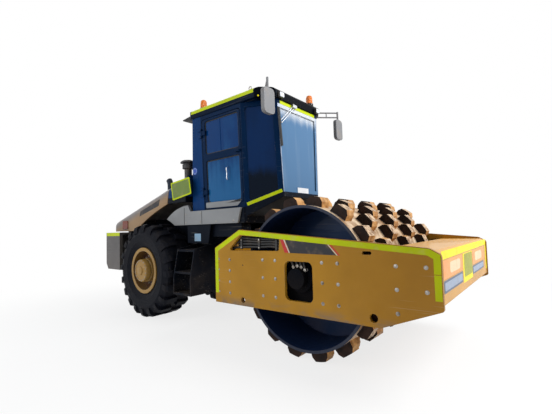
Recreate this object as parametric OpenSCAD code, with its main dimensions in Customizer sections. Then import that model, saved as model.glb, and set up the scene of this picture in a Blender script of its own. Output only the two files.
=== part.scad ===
// Single drum padfoot road roller with an articulated frame and a closed cab.
// Millimetres. X points forward to the drum, Y to the left, Z up.
// The origin is on the floor under the steering pin.

/* [Drum] */
// distance of the drum axle ahead of the steering pin
drum_x = 1600; // [1580:5:1640]
// radius of the drum shell
drum_r = 765; // [700:5:770]
// width of the drum
drum_w = 2130; // [2000:10:2140]
// thickness of the drum shell
shell_t = 30; // [20:1:40]
// height of a pad above the shell
pad_h = 100; // [60:5:100]
// pads around the drum in one row
pad_count = 16; // [12:2:16]
// rows of pads across the drum
pad_rows = 7; // [5:2:7]
// length of a pad around the drum at its foot
pad_foot = 200; // [150:5:210]
// length of a pad around the drum at its top
pad_top = 116; // [80:2:140]
// width of a pad across the drum
pad_w = 140; // [100:5:160]

/* [Drum frame] */
// gap between the drum's ends and the side plates
end_gap = 69; // [60:1:80]
// thickness of the side plates
plate_t = 36; // [25:1:36]
// front end of the drum frame ahead of the steering pin
frame_front = 3000; // [2960:10:3040]
// rear end of the drum frame ahead of the steering pin
frame_rear = 380; // [380:5:400]
// lower edge of the side plates
plate_low = 505; // [460:5:520]
// width of the window over the drum axle
window_w = 345; // [250:5:360]
// height of the window over the drum axle
window_h = 404; // [300:5:410]

/* [Steering] */
// radius of the vertical steering pin
pin_r = 60; // [45:1:65]
// radius of the shaft on which the drum frame rocks
rock_r = 100; // [80:1:105]
// height of the rocking shaft
rock_z = 820; // [810:5:830]
// running clearance of every shaft in its bore
run_gap = 0.1; // [0.05:0.01:0.1]

/* [Rear wheels] */
// distance of the rear axle behind the steering pin
axle_back = 1600; // [1590:5:1620]
// radius of a tyre over its lugs
tyre_r = 760; // [740:5:765]
// width of a tyre
tyre_w = 560; // [500:10:565]
// middle of a tyre from the centre plane
tyre_y = 770; // [765:5:790]
// radius of the rim flange
rim_r = 374; // [360:2:380]
// height of a lug above the tyre's body
lug_h = 45; // [30:1:50]
// lugs around one half of a tyre
lug_count = 20; // [16:2:24]
// length of a lug around the tyre
lug_t = 92; // [70:2:94]

/* [Cab] */
// half width of the cab at the sill
cab_sill_y = 672; // [650:2:680]
// half width of the cab under the roof
cab_top_y = 722; // [690:2:724]
// height of the cab sill above the deck
sill_z = 320; // [310:5:330]
// height of the roof's underside above the deck
roof_low = 1760; // [1730:5:1770]
// height of the roof's top above the deck
roof_top = 1900; // [1870:5:1910]
// thickness of the cab walls and doors
wall_t = 45; // [40:1:48]
// gap around a door
door_gap = 8; // [7:0.5:10]
// thickness of the glass
glass_t = 8; // [6:1:10]

/* [Hood] */
// half width of the hood
hood_y = 780; // [760:5:785]
// thickness of the hood skin
hood_t = 30; // [20:1:35]
// gap between the hood and the cowl
hood_gap = 12; // [10:1:16]
// radius of the shoulders of the hood and the cowl
hood_round = 110; // [60:5:120]

/* [Rear end] */
// height of the deck above the rear axle
deck_up = 610; // [600:5:640]
// rear end of the counterweight behind the steering pin
tail_back = 3000; // [2990:5:3020]
// half width of the counterweight
tail_y = 980; // [940:5:990]

/* [Hidden] */

// gap between curved faces that only look closed
skin = 0.3;
// how far a cut runs past the face that it opens
past = 10;

// drum axle height, so that the pads stand on the floor
drum_z = drum_r + pad_h;
// depth of a pad's foot in the shell
pad_sink = 12;
// distance of the outer rows of pads from the drum's ends
row_edge = 65;
row_pitch = (drum_w - pad_w - 2 * row_edge) / (pad_rows - 1);
// outer and inner faces of the side plates
frame_w = drum_w + 2 * (end_gap + plate_t);
plate_y = frame_w / 2;
plate_in = plate_y - plate_t;
// heights of the side plate's corners, from the rear to the front
heel_z = 1168;
peak_z = 1387;
brow_z = 1200;
nose_z = 1150;
chin_z = 713;
// shaft stubs of the drum and the plates that carry them
stub_r = 90;
support_in = drum_w / 2 - 55;
support_out = support_in + 30;
// rear and front beams of the drum frame
drum_room = 65;
beam_rear = frame_rear + 20;
beam_front = drum_x - drum_z - drum_room - 5;
beam_low = rock_z - 280;
beam_top = rock_z + 300;
nose_rear = drum_x + drum_z + drum_room;
nose_low = chin_z + 32;
lip_t = 30;

// steering fork on the rear frame
fork_x = -250;
fork_h = 260;
fork_t = 60;
fork_r = 150;
// steering cylinders, from the frame pin to the rod eye
cyl_base = [-600, 260];
cyl_eye = [180, 280];
cyl_z = rock_z - 55;
cyl_r = 55;
cyl_pin = 30;
rod_r = 25;
cyl_len = norm(cyl_eye - cyl_base);
cyl_turn = atan2(cyl_eye.y - cyl_base.y, cyl_eye.x - cyl_base.x);

// wheel axle
axle_x = -axle_back;
axle_z = tyre_r;
spindle_r = 90;
seat_r = 335;
diff_r = 230;
// flanges of a rim and the bead of a tyre
rim_half = tyre_w / 2 - 45;
flange_t = 20;
rim_wall = 19;
well_r = seat_r - rim_wall;

// rear frame
rail_in = 400;
rail_out = 440;
rail_low = rock_z - fork_h;
rail_back = 140 - tail_back;
saddle_z = axle_z + 145;
deck_top = axle_z + deck_up;
deck_t = 40;
deck_back = -900;
rail_top = deck_top - 120;
engine_low = axle_z + diff_r + 10;
// counterweight
tail_front = axle_x - tyre_r - 80;
tail_low = axle_z - 40;
tail_over = 25;
// steps
step_back = axle_x + tyre_r + 40;
step_x = -390;
step_y = 980;
step_low = 450;

// Cab, with heights above the deck
floor_low = 110;
floor_top = 190;
floor_y = 690;
cab_back_low = -700;
cab_back_top = -612;
post_x = 440;
// seam between the rear wall with its corner returns and the side walls
rear_seam = cab_back_top + wall_t + 20;
screen_low = [924, 430, sill_z + 183];
screen_top_x = 900;
// half width of the screen's top edge, in the plane of the corner glass
screen_top_y = cab_corners(0)[5].y;
// frame left around the front panes
frame_side = 45;
frame_top = 70;
glass_in = 16;
rear_pane = [1080, 640];
rear_pane_z = 1350;
// door opening, and the rail between its panes
door_back = -400;
door_front = 424;
door_low = sill_z + 10;
door_top = roof_low - 60;
rail_z = [1060, 1160];
// hinge line of a door, outside the wall
hinge_out = 14;
hinge_lean = atan((cab_top_y - cab_sill_y) / (roof_low - sill_z));
knuckle_r = 12;
knuckle_pin = 6;
// roof plan
roof_back = -690;
roof_front = 922;
roof_y = 735;
roof_cut = 206;
roof_round = 50;

// Hood and cowl, with heights above the deck
hood_back = 15 - tail_back;
hood_low = tail_over + 20;
hood_split = -1167;
cowl_front = -740;
// lines along the top of the hood and of the cowl
ridge = [[hood_back, 248], [hood_split, 762]];
cowl_ridge = [ridge[1], [cowl_front, 908]];
// room between a tyre and the hood's arch
arch_gap = 155;
skirt_gap = 110;
// hood hinge
hinge_x = -1160;
hinge_z = 798;
ear_r = 26;
ear_pin = 14;

// Helpers

function unit(v) = v / norm(v);

// points of an arc
function arc(c, r, a0, a1, n) =
    [for (i = [0:n]) [c.x + r * cos(a0 + (a1 - a0) * i / n), c.y + r * sin(a0 + (a1 - a0) * i / n)]];

// points that round the corner b between a and c
function corner(a, b, c, r, n) =
    let (u = unit(a - b), v = unit(c - b), half = acos(u * v) / 2)
    let (m = b + unit(u + v) * r / sin(half), s = b + u * r / tan(half), e = b + v * r / tan(half))
    let (a0 = atan2(s.y - m.y, s.x - m.x), a1 = atan2(e.y - m.y, e.x - m.x), d = a1 - a0)
    arc(m, r, a0, a0 + (d > 180 ? d - 360 : d < -180 ? d + 360 : d), n);

// outline with every corner rounded by its own radius
function rounded(p, r, n = 6) =
    let (k = len(p))
    [for (i = [0:k - 1]) each
        (r[i] > 0 ? corner(p[(i + k - 1) % k], p[i], p[(i + 1) % k], r[i], n) : [p[i]])];

// the same radius at all corners
function same(r, k) = [for (i = [0:k - 1]) r];

// rectangle outline with rounded corners
function plate(w, h, r) =
    rounded([[-w / 2, -h / 2], [w / 2, -h / 2], [w / 2, h / 2], [-w / 2, h / 2]], same(r, 4));

// curve from a to c drawn towards b
function bend(a, b, c, n) =
    [for (i = [0:n]) let (t = i / n) (1 - t) * (1 - t) * a + 2 * t * (1 - t) * b + t * t * c];

// height of the line through the points of a pair, at x
function height(line, x) =
    line[0].y + (x - line[0].x) * (line[1].y - line[0].y) / (line[1].x - line[0].x);

// outline in X and Z, drawn out along Y
module along_y(y0, y1) {
    translate([0, y1, 0]) rotate([90, 0, 0]) linear_extrude(y1 - y0) children();
}

// outline in Y and Z, drawn out along X
module along_x(x0, x1) {
    translate([x0, 0, 0]) rotate([90, 0, 90]) linear_extrude(x1 - x0) children();
}

// round bar between two Y values
module bar_y(r, x, z, y0, y1) {
    translate([x, y1, z]) rotate([90, 0, 0]) cylinder(r = r, h = y1 - y0, $fn = 64);
}

// round bar between two X values
module bar_x(r, y, z, x0, x1) {
    translate([x0, y, z]) rotate([0, 90, 0]) cylinder(r = r, h = x1 - x0, $fn = 64);
}

// round bar between two points
module rod(a, b, r) {
    d = b - a;
    translate(a) rotate([0, acos(d.z / norm(d)), atan2(d.y, d.x)]) cylinder(r = r, h = norm(d), $fn = 32);
}

// box between two corners
module box(a, b) {
    translate(a) cube(b - a);
}

module both() {
    children();
    mirror([0, 1, 0]) children();
}

// what is measured from the deck of the rear frame
module on_deck() {
    translate([0, 0, deck_top]) children();
}

// Drum frame

module side_plate() {
    edge = rounded([[frame_rear, plate_low], [frame_rear, heel_z], [808, peak_z], [2914, brow_z],
        [frame_front, nose_z], [frame_front, chin_z], [2489, plate_low + 5]], [0, 30, 60, 60, 40, 20, 60]);
    slot = rounded([[620, 1140], [1400, 1148], [1412, 1285], [826, 1318]], [20, 25, 25, 40]);
    difference() {
        along_y(plate_in, plate_y) polygon(edge);
        along_y(plate_in - past, plate_y + past) {
            translate([drum_x + 42, drum_z - 22]) polygon(plate(window_w, window_h, 60));
            polygon(slot);
            translate([2390, 1150]) polygon(plate(88, 30, 14));
        }
        bar_y(32, 851, 572, plate_in - past, plate_y + past);
        bar_y(38, 2432, 587, plate_in - past, plate_y + past);
    }
}

module side_plates() {
    color([0.62, 0.43, 0.13]) both() side_plate();
}

module front_beam() {
    face = frame_front - 12;
    color([0.62, 0.43, 0.13]) along_y(-plate_in, plate_in)
        polygon([[nose_rear, nose_low], [face, nose_low], [face, nose_z], [face - 48, nose_z + lip_t],
            [nose_rear - 60, nose_z + lip_t], [nose_rear - 60, nose_z], [nose_rear, nose_z]]);
}

module rear_beam() {
    color([0.62, 0.43, 0.13]) difference() {
        union() {
            box([beam_rear, -plate_in, beam_low], [beam_front, plate_in, beam_top]);
            box([beam_rear, -plate_in, beam_top], [beam_front - 60, plate_in, beam_top + lip_t]);
        }
        bar_x(rock_r + run_gap, 0, rock_z, beam_rear - past, beam_front + past);
    }
}

module drum_support() {
    difference() {
        union() {
            along_y(support_in, support_out) translate([drum_x, drum_z]) polygon(plate(860, 500, 80));
            bar_y(160, drum_x, drum_z, 620, support_in);
            for (x = [-340, 340], z = [-170, 0, 170])
                bar_y(70, drum_x + x, drum_z + z, support_out, plate_in);
        }
        bar_y(stub_r + run_gap, drum_x, drum_z, 620 - past, support_out + past);
    }
}

module drum_supports() {
    color([0.06, 0.06, 0.07]) both() drum_support();
}

module drum_motor() {
    color([0.10, 0.10, 0.11]) both() {
        bar_y(150, drum_x, drum_z, support_out, support_out + 40);
        bar_y(105, drum_x, drum_z, support_out + 40, plate_y - past);
    }
}

// pad standing on the shell, with its top rounded to the circle that it rolls on
module pad() {
    waist = pad_foot / 2 - 8;
    peak = pad_h + pad_sink;
    intersection() {
        along_y(-pad_w / 2, pad_w / 2)
            polygon([[-pad_foot / 2, -pad_sink], [pad_foot / 2, -pad_sink], [waist, 0.55 * pad_h],
                [pad_top / 2, pad_h], [pad_top / 2 - pad_sink, peak], [pad_sink - pad_top / 2, peak],
                [-pad_top / 2, pad_h], [-waist, 0.55 * pad_h]]);
        bar_y(drum_r + pad_h, 0, -drum_r, -pad_w / 2 - past, pad_w / 2 + past);
    }
}

// every second row is turned by half a pitch, and the middle row has a pad on the floor
module drum() {
    middle = (pad_rows - 1) / 2;
    pitch = 360 / pad_count;
    color([0.62, 0.54, 0.45]) difference() {
        union() {
            bar_y(drum_r, drum_x, drum_z, -drum_w / 2, drum_w / 2);
            for (row = [-middle:middle], i = [0:pad_count - 1])
                translate([drum_x, row * row_pitch, drum_z]) rotate([0, (i + (row % 2) / 2) * pitch, 0])
                    translate([0, 0, drum_r]) pad();
        }
        bar_y(drum_r - shell_t, drum_x, drum_z, -drum_w / 2 - past, drum_w / 2 + past);
    }
}

module drum_core() {
    inside = drum_r - shell_t - skin / 2;
    color([0.05, 0.08, 0.16]) {
        for (y = [-500, 450])
            bar_y(inside, drum_x, drum_z, y, y + 50);
        bar_y(stub_r, drum_x, drum_z, -support_out + 5, support_out - 5);
    }
}

// Steering joint

module hitch() {
    room = fork_h - fork_t - 1;
    color([0.62, 0.43, 0.13]) {
        translate([0, 0, rock_z - room]) cylinder(r = 110, h = 2 * room, $fn = 64);
        translate([0, 0, rock_z - fork_h - 20]) cylinder(r = pin_r, h = 2 * fork_h + 40, $fn = 64);
        box([0, -110, rock_z - 120], [beam_rear - 30, 110, rock_z + 120]);
        bar_x(rock_r + 40, 0, rock_z, beam_rear - 30, beam_rear - 1);
        bar_x(rock_r, 0, rock_z, beam_rear - 1, beam_front + 20);
        rod_ears();
    }
}

// plates under the two rod eyes
module rod_ears() {
    both() translate([0, 0, cyl_z - 65]) linear_extrude(40)
        polygon(rounded([[60, 100], [330, 100], [230, 335], [130, 335]], [0, 0, 45, 45]));
}

// steering cylinder on the left, lying on its own line
module on_cylinder() {
    translate([cyl_base.x, cyl_base.y, cyl_z]) rotate([0, 0, cyl_turn]) children();
}

module barrel() {
    on_cylinder() difference() {
        union() {
            rotate([0, 90, 0]) cylinder(r = cyl_r, h = 500, $fn = 48);
            translate([0, 0, -60]) cylinder(r = 70, h = 120, $fn = 48);
        }
        translate([90, 0, 0]) rotate([0, 90, 0]) cylinder(r = rod_r + run_gap, h = 500, $fn = 48);
        translate([0, 0, -60 - past]) cylinder(r = cyl_pin + run_gap, h = 120 + 2 * past, $fn = 48);
    }
}

module piston_rod() {
    on_cylinder() {
        translate([cyl_len - 480, 0, 0]) rotate([0, 90, 0]) cylinder(r = rod_r, h = 450, $fn = 48);
        translate([cyl_len, 0, skin - 25]) cylinder(r = 50, h = 50, $fn = 48);
    }
}

module cylinder_left() {
    color([0.06, 0.06, 0.07]) barrel();
}

module cylinder_right() {
    color([0.06, 0.06, 0.07]) mirror([0, 1, 0]) barrel();
}

module rod_left() {
    color([0.75, 0.76, 0.78]) piston_rod();
}

module rod_right() {
    color([0.75, 0.76, 0.78]) mirror([0, 1, 0]) piston_rod();
}

// Rear frame

module rear_frame() {
    rail = [[fork_x, rail_low], [axle_x + 350, rail_low + 40], [axle_x + 210, saddle_z],
        [axle_x - 210, saddle_z], [axle_x - 350, saddle_z - 265], [rail_back, saddle_z - 165],
        [rail_back, rail_top], [deck_back - 100, rail_top], [deck_back, deck_top - deck_t],
        [fork_x - 50, deck_top - deck_t], [fork_x, rock_z + fork_h]];
    color([0.05, 0.05, 0.06]) difference() {
        union() {
            both() along_y(rail_in, rail_out) polygon(rail);
            box([fork_x - 50, -140, rail_low], [fork_x, 140, deck_top]);
            box([deck_back, -rail_in, rail_low], [fork_x, rail_in, rail_low + 40]);
            for (x = [axle_x + 250, axle_x - 700])
                box([x, -rail_in, engine_low - 70], [x + 100, rail_in, engine_low]);
            box([deck_back, -rail_out, deck_top - deck_t], [100, rail_out, deck_top]);
            for (z = [rock_z - fork_h, rock_z + fork_h - fork_t]) {
                box([fork_x, -fork_r, z], [0, fork_r, z + fork_t]);
                translate([0, 0, z]) cylinder(r = fork_r, h = fork_t, $fn = 64);
            }
            both() for (z = [cyl_z - 100, cyl_z + 61])
                box([cyl_base.x - 80, cyl_base.y - 60, z], [cyl_base.x + 60, rail_in, z + 39]);
            both() translate([cyl_base.x, cyl_base.y, cyl_z - 90]) cylinder(r = cyl_pin, h = 180, $fn = 48);
        }
        translate([0, 0, rail_low - past]) cylinder(r = pin_r + run_gap, h = 2 * (fork_h + past), $fn = 64);
    }
}

module rear_axle() {
    color([0.05, 0.05, 0.06]) {
        bar_y(120, axle_x, axle_z, 215 - tyre_y, tyre_y - 215);
        bar_y(spindle_r, axle_x, axle_z, -tyre_y - 50, tyre_y + 50);
        translate([axle_x, 0, axle_z]) sphere(r = diff_r, $fn = 48);
        both() box([axle_x - 130, rail_in - 30, axle_z], [axle_x + 130, rail_out + 10, saddle_z]);
    }
}

module engine() {
    color([0.12, 0.12, 0.12])
        box([axle_x - 740, -300, engine_low], [axle_x + 380, 300, deck_top + 250]);
}

module counterweight() {
    back = -tail_back;
    side = tail_y - 60;
    plan = rounded([[tail_front, -tail_y], [tail_front, tail_y], [back, tail_y], [back, -tail_y]],
        [0, 0, 60, 60]);
    profile = [[tail_front, tail_low], [back + 120, tail_low], [back, tail_low + 160],
        [back, deck_top + tail_over], [tail_front, deck_top + tail_over]];
    color([0.13, 0.12, 0.11]) difference() {
        intersection() {
            translate([0, 0, tail_low]) linear_extrude(deck_top + tail_over - tail_low) polygon(plan);
            along_y(-tail_y, tail_y) polygon(profile);
        }
        box([rail_back, -side, tail_low - past], [tail_front + past, side, deck_top - 15]);
    }
}

module steps() {
    side = [[rail_out, step_low + 50], [step_y - 220, step_low], [step_y, step_low], [step_y, 700],
        [step_y - 80, 1120], [rail_out, 1200]];
    treads = [[step_y - 220, step_y, step_low], [step_y - 280, step_y - 15, 760],
        [step_y - 340, step_y - 80, 1080]];
    color([0.05, 0.05, 0.06]) both() {
        for (x = [step_back, step_x - 10])
            along_x(x, x + 20) polygon(side);
        for (t = treads)
            box([step_back + past, t[0], t[2]], [step_x, t[1], t[2] + 30]);
    }
}

// Cab

// point at height z on the line from a to b
function on_line(a, b, z) = a + (b - a) * (z - a.z) / (b.z - a.z);

// corners of one side of the cab moved in by d: rear, post and screen, low and high.
// The screen's top corner lies in the plane of the corner glass.
function cab_corners(d) =
    let (rl = [cab_back_low + d, cab_sill_y - d, sill_z], rt = [cab_back_top + d, cab_top_y - d, roof_low])
    let (pl = [post_x - d * 0.24, cab_sill_y - d, sill_z], pt = [post_x - d * 0.24, cab_top_y - d, roof_low])
    let (sl = [screen_low.x - d, screen_low.y - d * 0.61, screen_low.z], n = cross(pt - pl, sl - pl))
    let (x = screen_top_x - d, y = pl.y - (n.x * (x - pl.x) + n.z * (roof_low - sill_z)) / n.y)
    [rl, rt, pl, pt, sl, [x, y, roof_low]];

// the same corners with the ends of the walls run out by e
function cab_points(d, e) =
    let (c = cab_corners(d), top = roof_low + e)
    [on_line(c[0], c[1], sill_z - e), on_line(c[2], c[3], sill_z - e), on_line(c[4], c[5], screen_low.z - e),
        on_line(c[0], c[1], top), on_line(c[2], c[3], top), on_line(c[4], c[5], top)];

// solid of the cab moved in by d, with its ends run out by e
module cab_solid(d, e) {
    p = cab_points(d, e);
    q = [for (v = p) [v.x, -v.y, v.z]];
    hull() polyhedron(concat(p, q), [[0, 1, 7, 6], [1, 2, 8, 7], [3, 9, 10, 4], [4, 10, 11, 5],
        [0, 3, 4, 1], [1, 4, 5, 2], [6, 7, 10, 9], [7, 8, 11, 10], [0, 6, 9, 3], [2, 5, 11, 8]]);
}

module cab_shell() {
    difference() {
        cab_solid(0, 0);
        cab_solid(wall_t, 80);
    }
}

// outline of the door opening, moved in by d
function door_edge(d) =
    rounded([[door_back + d, door_low + d], [300, door_low + d], [door_front - d, door_low + 82 + d / 2],
        [door_front - d, door_top - d], [door_back + d, door_top - d]], [40, 60, 40, 50, 50]);

// outlines of the panes in a door
upper_pane = rounded([[door_back + 70, rail_z[1]], [door_front - 48, rail_z[1]],
    [door_front - 48, door_top - 40], [door_back + 70, door_top - 40]], same(45, 4));
lower_pane = rounded([[door_back + 70, door_low + 130], [door_back + 160, door_low + 60],
    [290, door_low + 60], [door_front - 48, door_low + 120], [door_front - 48, rail_z[0]],
    [door_back + 70, rail_z[0]]], same(40, 6));

// height of the sloping toe plate
function toe_z(x) = sill_z + (x - post_x) * (screen_low.z - sill_z) / (screen_low.x - post_x);

module cab_floor() {
    front = post_x - 10;
    toe = [[front - 30, floor_top], [front, floor_low], [front + 30, floor_low + 90],
        [screen_low.x, screen_low.z - 60], [screen_low.x, screen_low.z], [post_x, sill_z],
        [front - 30, sill_z]];
    color([0.10, 0.10, 0.11]) on_deck() {
        box([cab_back_low, -floor_y, floor_low], [front, floor_y, floor_top]);
        both() box([cab_back_low, cab_sill_y - 60, floor_top], [front, floor_y, sill_z]);
        box([cab_back_low, -floor_y, floor_top], [cab_back_low + 60, floor_y, sill_z]);
        intersection() {
            cab_solid(0, 300);
            along_y(-floor_y, floor_y) polygon(toe);
        }
        both() for (x = [-640, 20])
            translate([x, rail_in - 20, 0]) cylinder(r = 55, h = floor_low, $fn = 48);
        both() box([-350, rail_out + past, -80], [330, floor_y - 50, floor_low]);
    }
}

module cab_skirts() {
    arch = arc([axle_x, -deck_up], tyre_r + skirt_gap, 72, 56, 6);
    tip = arch[0] + [6, 8];
    edge = concat([[340, floor_low], [400, sill_z], [cab_back_low + 2, sill_z], [-760, sill_z + 100]],
        bend([-840, sill_z + 96], [tip.x + 235, sill_z + 70], tip, 8), arch);
    color([0.30, 0.30, 0.29]) on_deck() both() along_y(floor_y, floor_y + 36) polygon(edge);
}

module cab_rear() {
    color([0.02, 0.03, 0.05]) on_deck() difference() {
        intersection() {
            cab_shell();
            box([-800, -800, sill_z - 1], [rear_seam, 800, roof_low + 1]);
        }
        along_x(-800, -500) translate([0, rear_pane_z]) polygon(plate(rear_pane.x, rear_pane.y, 60));
    }
}

// outer face of the side wall at height z
function side_y(z) = cab_sill_y + (z - sill_z) * tan(hinge_lean);

// both hinges of the left door, with Z along the hinge line
module at_hinges() {
    for (z = [door_low + 260, door_top - 210])
        translate([door_back, side_y(z) + hinge_out, z]) rotate([-hinge_lean, 0, 0]) children();
}

module cab_side() {
    difference() {
        intersection() {
            cab_shell();
            box([rear_seam, 300, sill_z - 1], [post_x, 800, roof_low + 1]);
        }
        along_y(300, 900) polygon(door_edge(0));
    }
    at_hinges() {
        translate([0, 0, -60]) cylinder(r = knuckle_pin, h = 120, $fn = 32);
        for (z = [-70, 38]) {
            translate([0, 0, z]) cylinder(r = knuckle_r, h = 32, $fn = 32);
            box([-80, -hinge_out - 3, z + 2], [0, 4, z + 30]);
        }
    }
}

module cab_sides() {
    color([0.02, 0.03, 0.05]) on_deck() both() cab_side();
}

// outline of the windscreen, moved in by d
function screen_edge(d) =
    let (s = frame_side + d, low = screen_low.z + s, top = roof_low - frame_top - d)
    rounded([[s - screen_low.y, low], [screen_low.y - s, low], [screen_top_y - s, top],
        [s - screen_top_y, top]], same(40, 4));

// outline of a corner pane, moved in by d
function quarter_edge(d) =
    let (back = post_x + 50 + d, front = 65 + d, top = roof_low - frame_top - d)
    rounded([[back, sill_z + 75 + d], [screen_low.x - front, screen_low.z + 35 + d],
        [screen_top_x - front, top], [back, top]], same(30, 4));

module cab_front() {
    color([0.02, 0.03, 0.05]) on_deck() difference() {
        intersection() {
            cab_shell();
            box([post_x, -800, sill_z - 1], [1000, 800, roof_low + 1]);
        }
        along_x(700, 1000) polygon(screen_edge(0));
        both() along_y(300, 900) polygon(quarter_edge(0));
    }
}

// thin skin in the cab wall, for the glass
module glass_skin() {
    difference() {
        cab_solid(glass_in, 0);
        cab_solid(glass_in + glass_t, 80);
    }
}

module windscreen() {
    color([0.45, 0.60, 0.75, 0.5]) on_deck() intersection() {
        glass_skin();
        along_x(700, 1000) polygon(screen_edge(0.2));
    }
}

module quarter_glass() {
    color([0.10, 0.16, 0.25, 0.5]) on_deck() both() intersection() {
        glass_skin();
        along_y(300, 900) polygon(quarter_edge(0.2));
    }
}

module rear_glass() {
    color([0.10, 0.16, 0.25, 0.5]) on_deck() intersection() {
        glass_skin();
        along_x(-800, -500) translate([0, rear_pane_z])
            polygon(plate(rear_pane.x - 0.4, rear_pane.y - 0.4, 60));
    }
}

// roof with rounded upper edges and cut front corners
module roof_block() {
    side = roof_y - roof_cut;
    cut = roof_front - roof_cut;
    top = [0, 0, roof_round, roof_round];
    intersection() {
        translate([0, 0, roof_low]) linear_extrude(roof_top - roof_low)
            polygon(rounded([[roof_back, -roof_y], [cut, -roof_y], [roof_front, -side], [roof_front, side],
                [cut, roof_y], [roof_back, roof_y]], [60, 40, 40, 40, 40, 60]));
        along_y(-roof_y, roof_y) polygon(rounded([[roof_back, roof_low], [roof_front, roof_low],
            [roof_front, roof_top], [roof_back, roof_top]], top));
        along_x(roof_back, roof_front) polygon(rounded([[-roof_y, roof_low], [roof_y, roof_low],
            [roof_y, roof_top], [-roof_y, roof_top]], top));
    }
}

module cab_roof() {
    color([0.02, 0.03, 0.05]) on_deck() difference() {
        roof_block();
        translate([0, 0, roof_low - 1]) linear_extrude(roof_top - roof_low - 40)
            polygon([[-540, -640], [420, -640], [800, -430], [800, 430], [420, 640], [-540, 640]]);
    }
}

module door() {
    difference() {
        intersection() {
            cab_shell();
            along_y(300, 900) polygon(door_edge(door_gap));
        }
        along_y(300, 900) polygon(upper_pane);
        along_y(300, 900) polygon(lower_pane);
    }
    at_hinges() difference() {
        union() {
            translate([0, 0, -36]) cylinder(r = knuckle_r, h = 72, $fn = 32);
            box([0, 0.5 - hinge_out, -34], [90, 4, 34]);
            box([14, -hinge_out - 3, -34], [90, 0, 34]);
        }
        translate([0, 0, -40]) cylinder(r = knuckle_pin + run_gap, h = 80, $fn = 32);
    }
    // pull handle on the rail
    grip_z = (rail_z[0] + rail_z[1]) / 2;
    translate([door_front - 84, side_y(grip_z) - 3, grip_z]) {
        for (x = [-20, 40])
            box([x, 0, -16], [x + 20, 34, 16]);
        box([-20, 22, -16], [60, 36, 16]);
    }
}

module door_panes() {
    intersection() {
        glass_skin();
        along_y(300, 900) {
            polygon(upper_pane);
            polygon(lower_pane);
        }
    }
}

module door_left() {
    color([0.02, 0.03, 0.05]) on_deck() door();
}

module door_right() {
    color([0.02, 0.03, 0.05]) on_deck() mirror([0, 1, 0]) door();
}

module door_glass_left() {
    color([0.10, 0.16, 0.25, 0.5]) on_deck() door_panes();
}

module door_glass_right() {
    color([0.10, 0.16, 0.25, 0.5]) on_deck() mirror([0, 1, 0]) door_panes();
}

module seat() {
    cushion = [floor_top + 340, floor_top + 460];
    color([0.04, 0.04, 0.05]) on_deck() {
        box([-330, -180, floor_top], [10, 180, cushion[0]]);
        box([-350, -260, cushion[0]], [150, 260, cushion[1]]);
        along_y(-250, 250) polygon(rounded([[-350, cushion[1]], [-230, cushion[1]], [-330, cushion[1] + 620],
            [-430, cushion[1] + 620]], [0, 0, 45, 45]));
    }
}

// dash with the steering column and wheel
module console() {
    hub = [440, 0, 870];
    dash = [[540, toe_z(540)], [700, toe_z(700)], [700, 780], [620, 810], [520, 690]];
    color([0.05, 0.05, 0.06]) on_deck() {
        along_y(-150, 150) polygon(dash);
        rod([560, 0, 730], hub, 30);
        translate(hub) rotate([0, -40, 0]) {
            rotate_extrude($fn = 64) translate([185, 0]) circle(r = 16, $fn = 32);
            cylinder(r = 45, h = 30, center = true, $fn = 48);
            for (a = [30, 150, 270])
                rotate([0, 0, a]) translate([0, -15, -8]) cube([180, 30, 16]);
        }
    }
}

module beacons() {
    dome = concat([[0, 0], [62, 0], [62, 30], [54, 34], [50, 120]], bend([48, 132], [42, 163], [16, 165], 6),
        [[0, 165]]);
    color([0.80, 0.25, 0.02]) on_deck() for (p = [[-480, -600], [840, 400]])
        translate([p.x, p.y, roof_top]) rotate_extrude($fn = 48) polygon(dome);
}

module work_lamps() {
    color([0.75, 0.76, 0.78]) on_deck() both()
        along_x(roof_front, roof_front + 40) translate([450, roof_low + 48]) polygon(plate(100, 76, 18));
}

// point on the windscreen's frame at y and z, moved out by d
function on_screen(y, z, d) =
    let (t = (z - screen_low.z) / (roof_low - screen_low.z))
    [screen_low.x + t * (screen_top_x - screen_low.x) + d, y, z];

// pair of arms hung from the frame over the screen, with the blade at their end
module wipers() {
    out = 16;
    pivot_z = roof_low - 26;
    color([0.02, 0.02, 0.02]) on_deck() difference() {
        union() {
            box([880, -170, pivot_z - 20], [940, -80, pivot_z + 20]);
            for (y = [-150, -100])
                rod(on_screen(y, pivot_z, out), on_screen(y - 320, pivot_z - 290, out), 6);
            rod(on_screen(-475, pivot_z - 290, out), on_screen(-415, pivot_z - 290, out), 8);
            rod(on_screen(-495, pivot_z - 90, out), on_screen(-455, pivot_z - 620, out), 11);
        }
        cab_solid(0, 0);
    }
}

// ladder arm from the roof's cut corner, with the mirror hung from its end
module mirrors() {
    foot = [roof_front - roof_cut / 2 - 16, roof_y - roof_cut / 2 - 16];
    head = [1066, 877];
    low = roof_low + 22;
    high = roof_low + 96;
    middle = (foot + head) / 2;
    color([0.55, 0.56, 0.57]) on_deck() both() difference() {
        union() {
            for (z = [low, high])
                rod([foot.x, foot.y, z], [head.x, head.y, z], 11);
            translate([middle.x, middle.y, low]) cylinder(r = 8, h = high - low, $fn = 32);
            translate([head.x, head.y, low - 60]) cylinder(r = 15, h = high - low + 76, $fn = 32);
            along_x(head.x - 26, head.x + 26) translate([head.y, low - 206]) polygon(plate(200, 320, 55));
        }
        roof_block();
    }
}

// Hood and cowl

// body under a sloping line, with rounded shoulders
module shoulders(line, half, r) {
    run = line[1] - line[0];
    translate([line[0].x, 0, line[0].y]) rotate([0, -atan2(run.y, run.x), 0]) along_x(-600, norm(run) + 600)
        polygon(rounded([[-half, -1500], [half, -1500], [half, 0], [-half, 0]], [0, 0, r, r]));
}

// line moved down by d
function lower(line, d) = [for (p = line) p - [0, d]];

// where the roof line turns down to the rear wall, and the height of that wall above the deck
hood_turn = hood_back + 135;
tail_h = 170;

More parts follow.
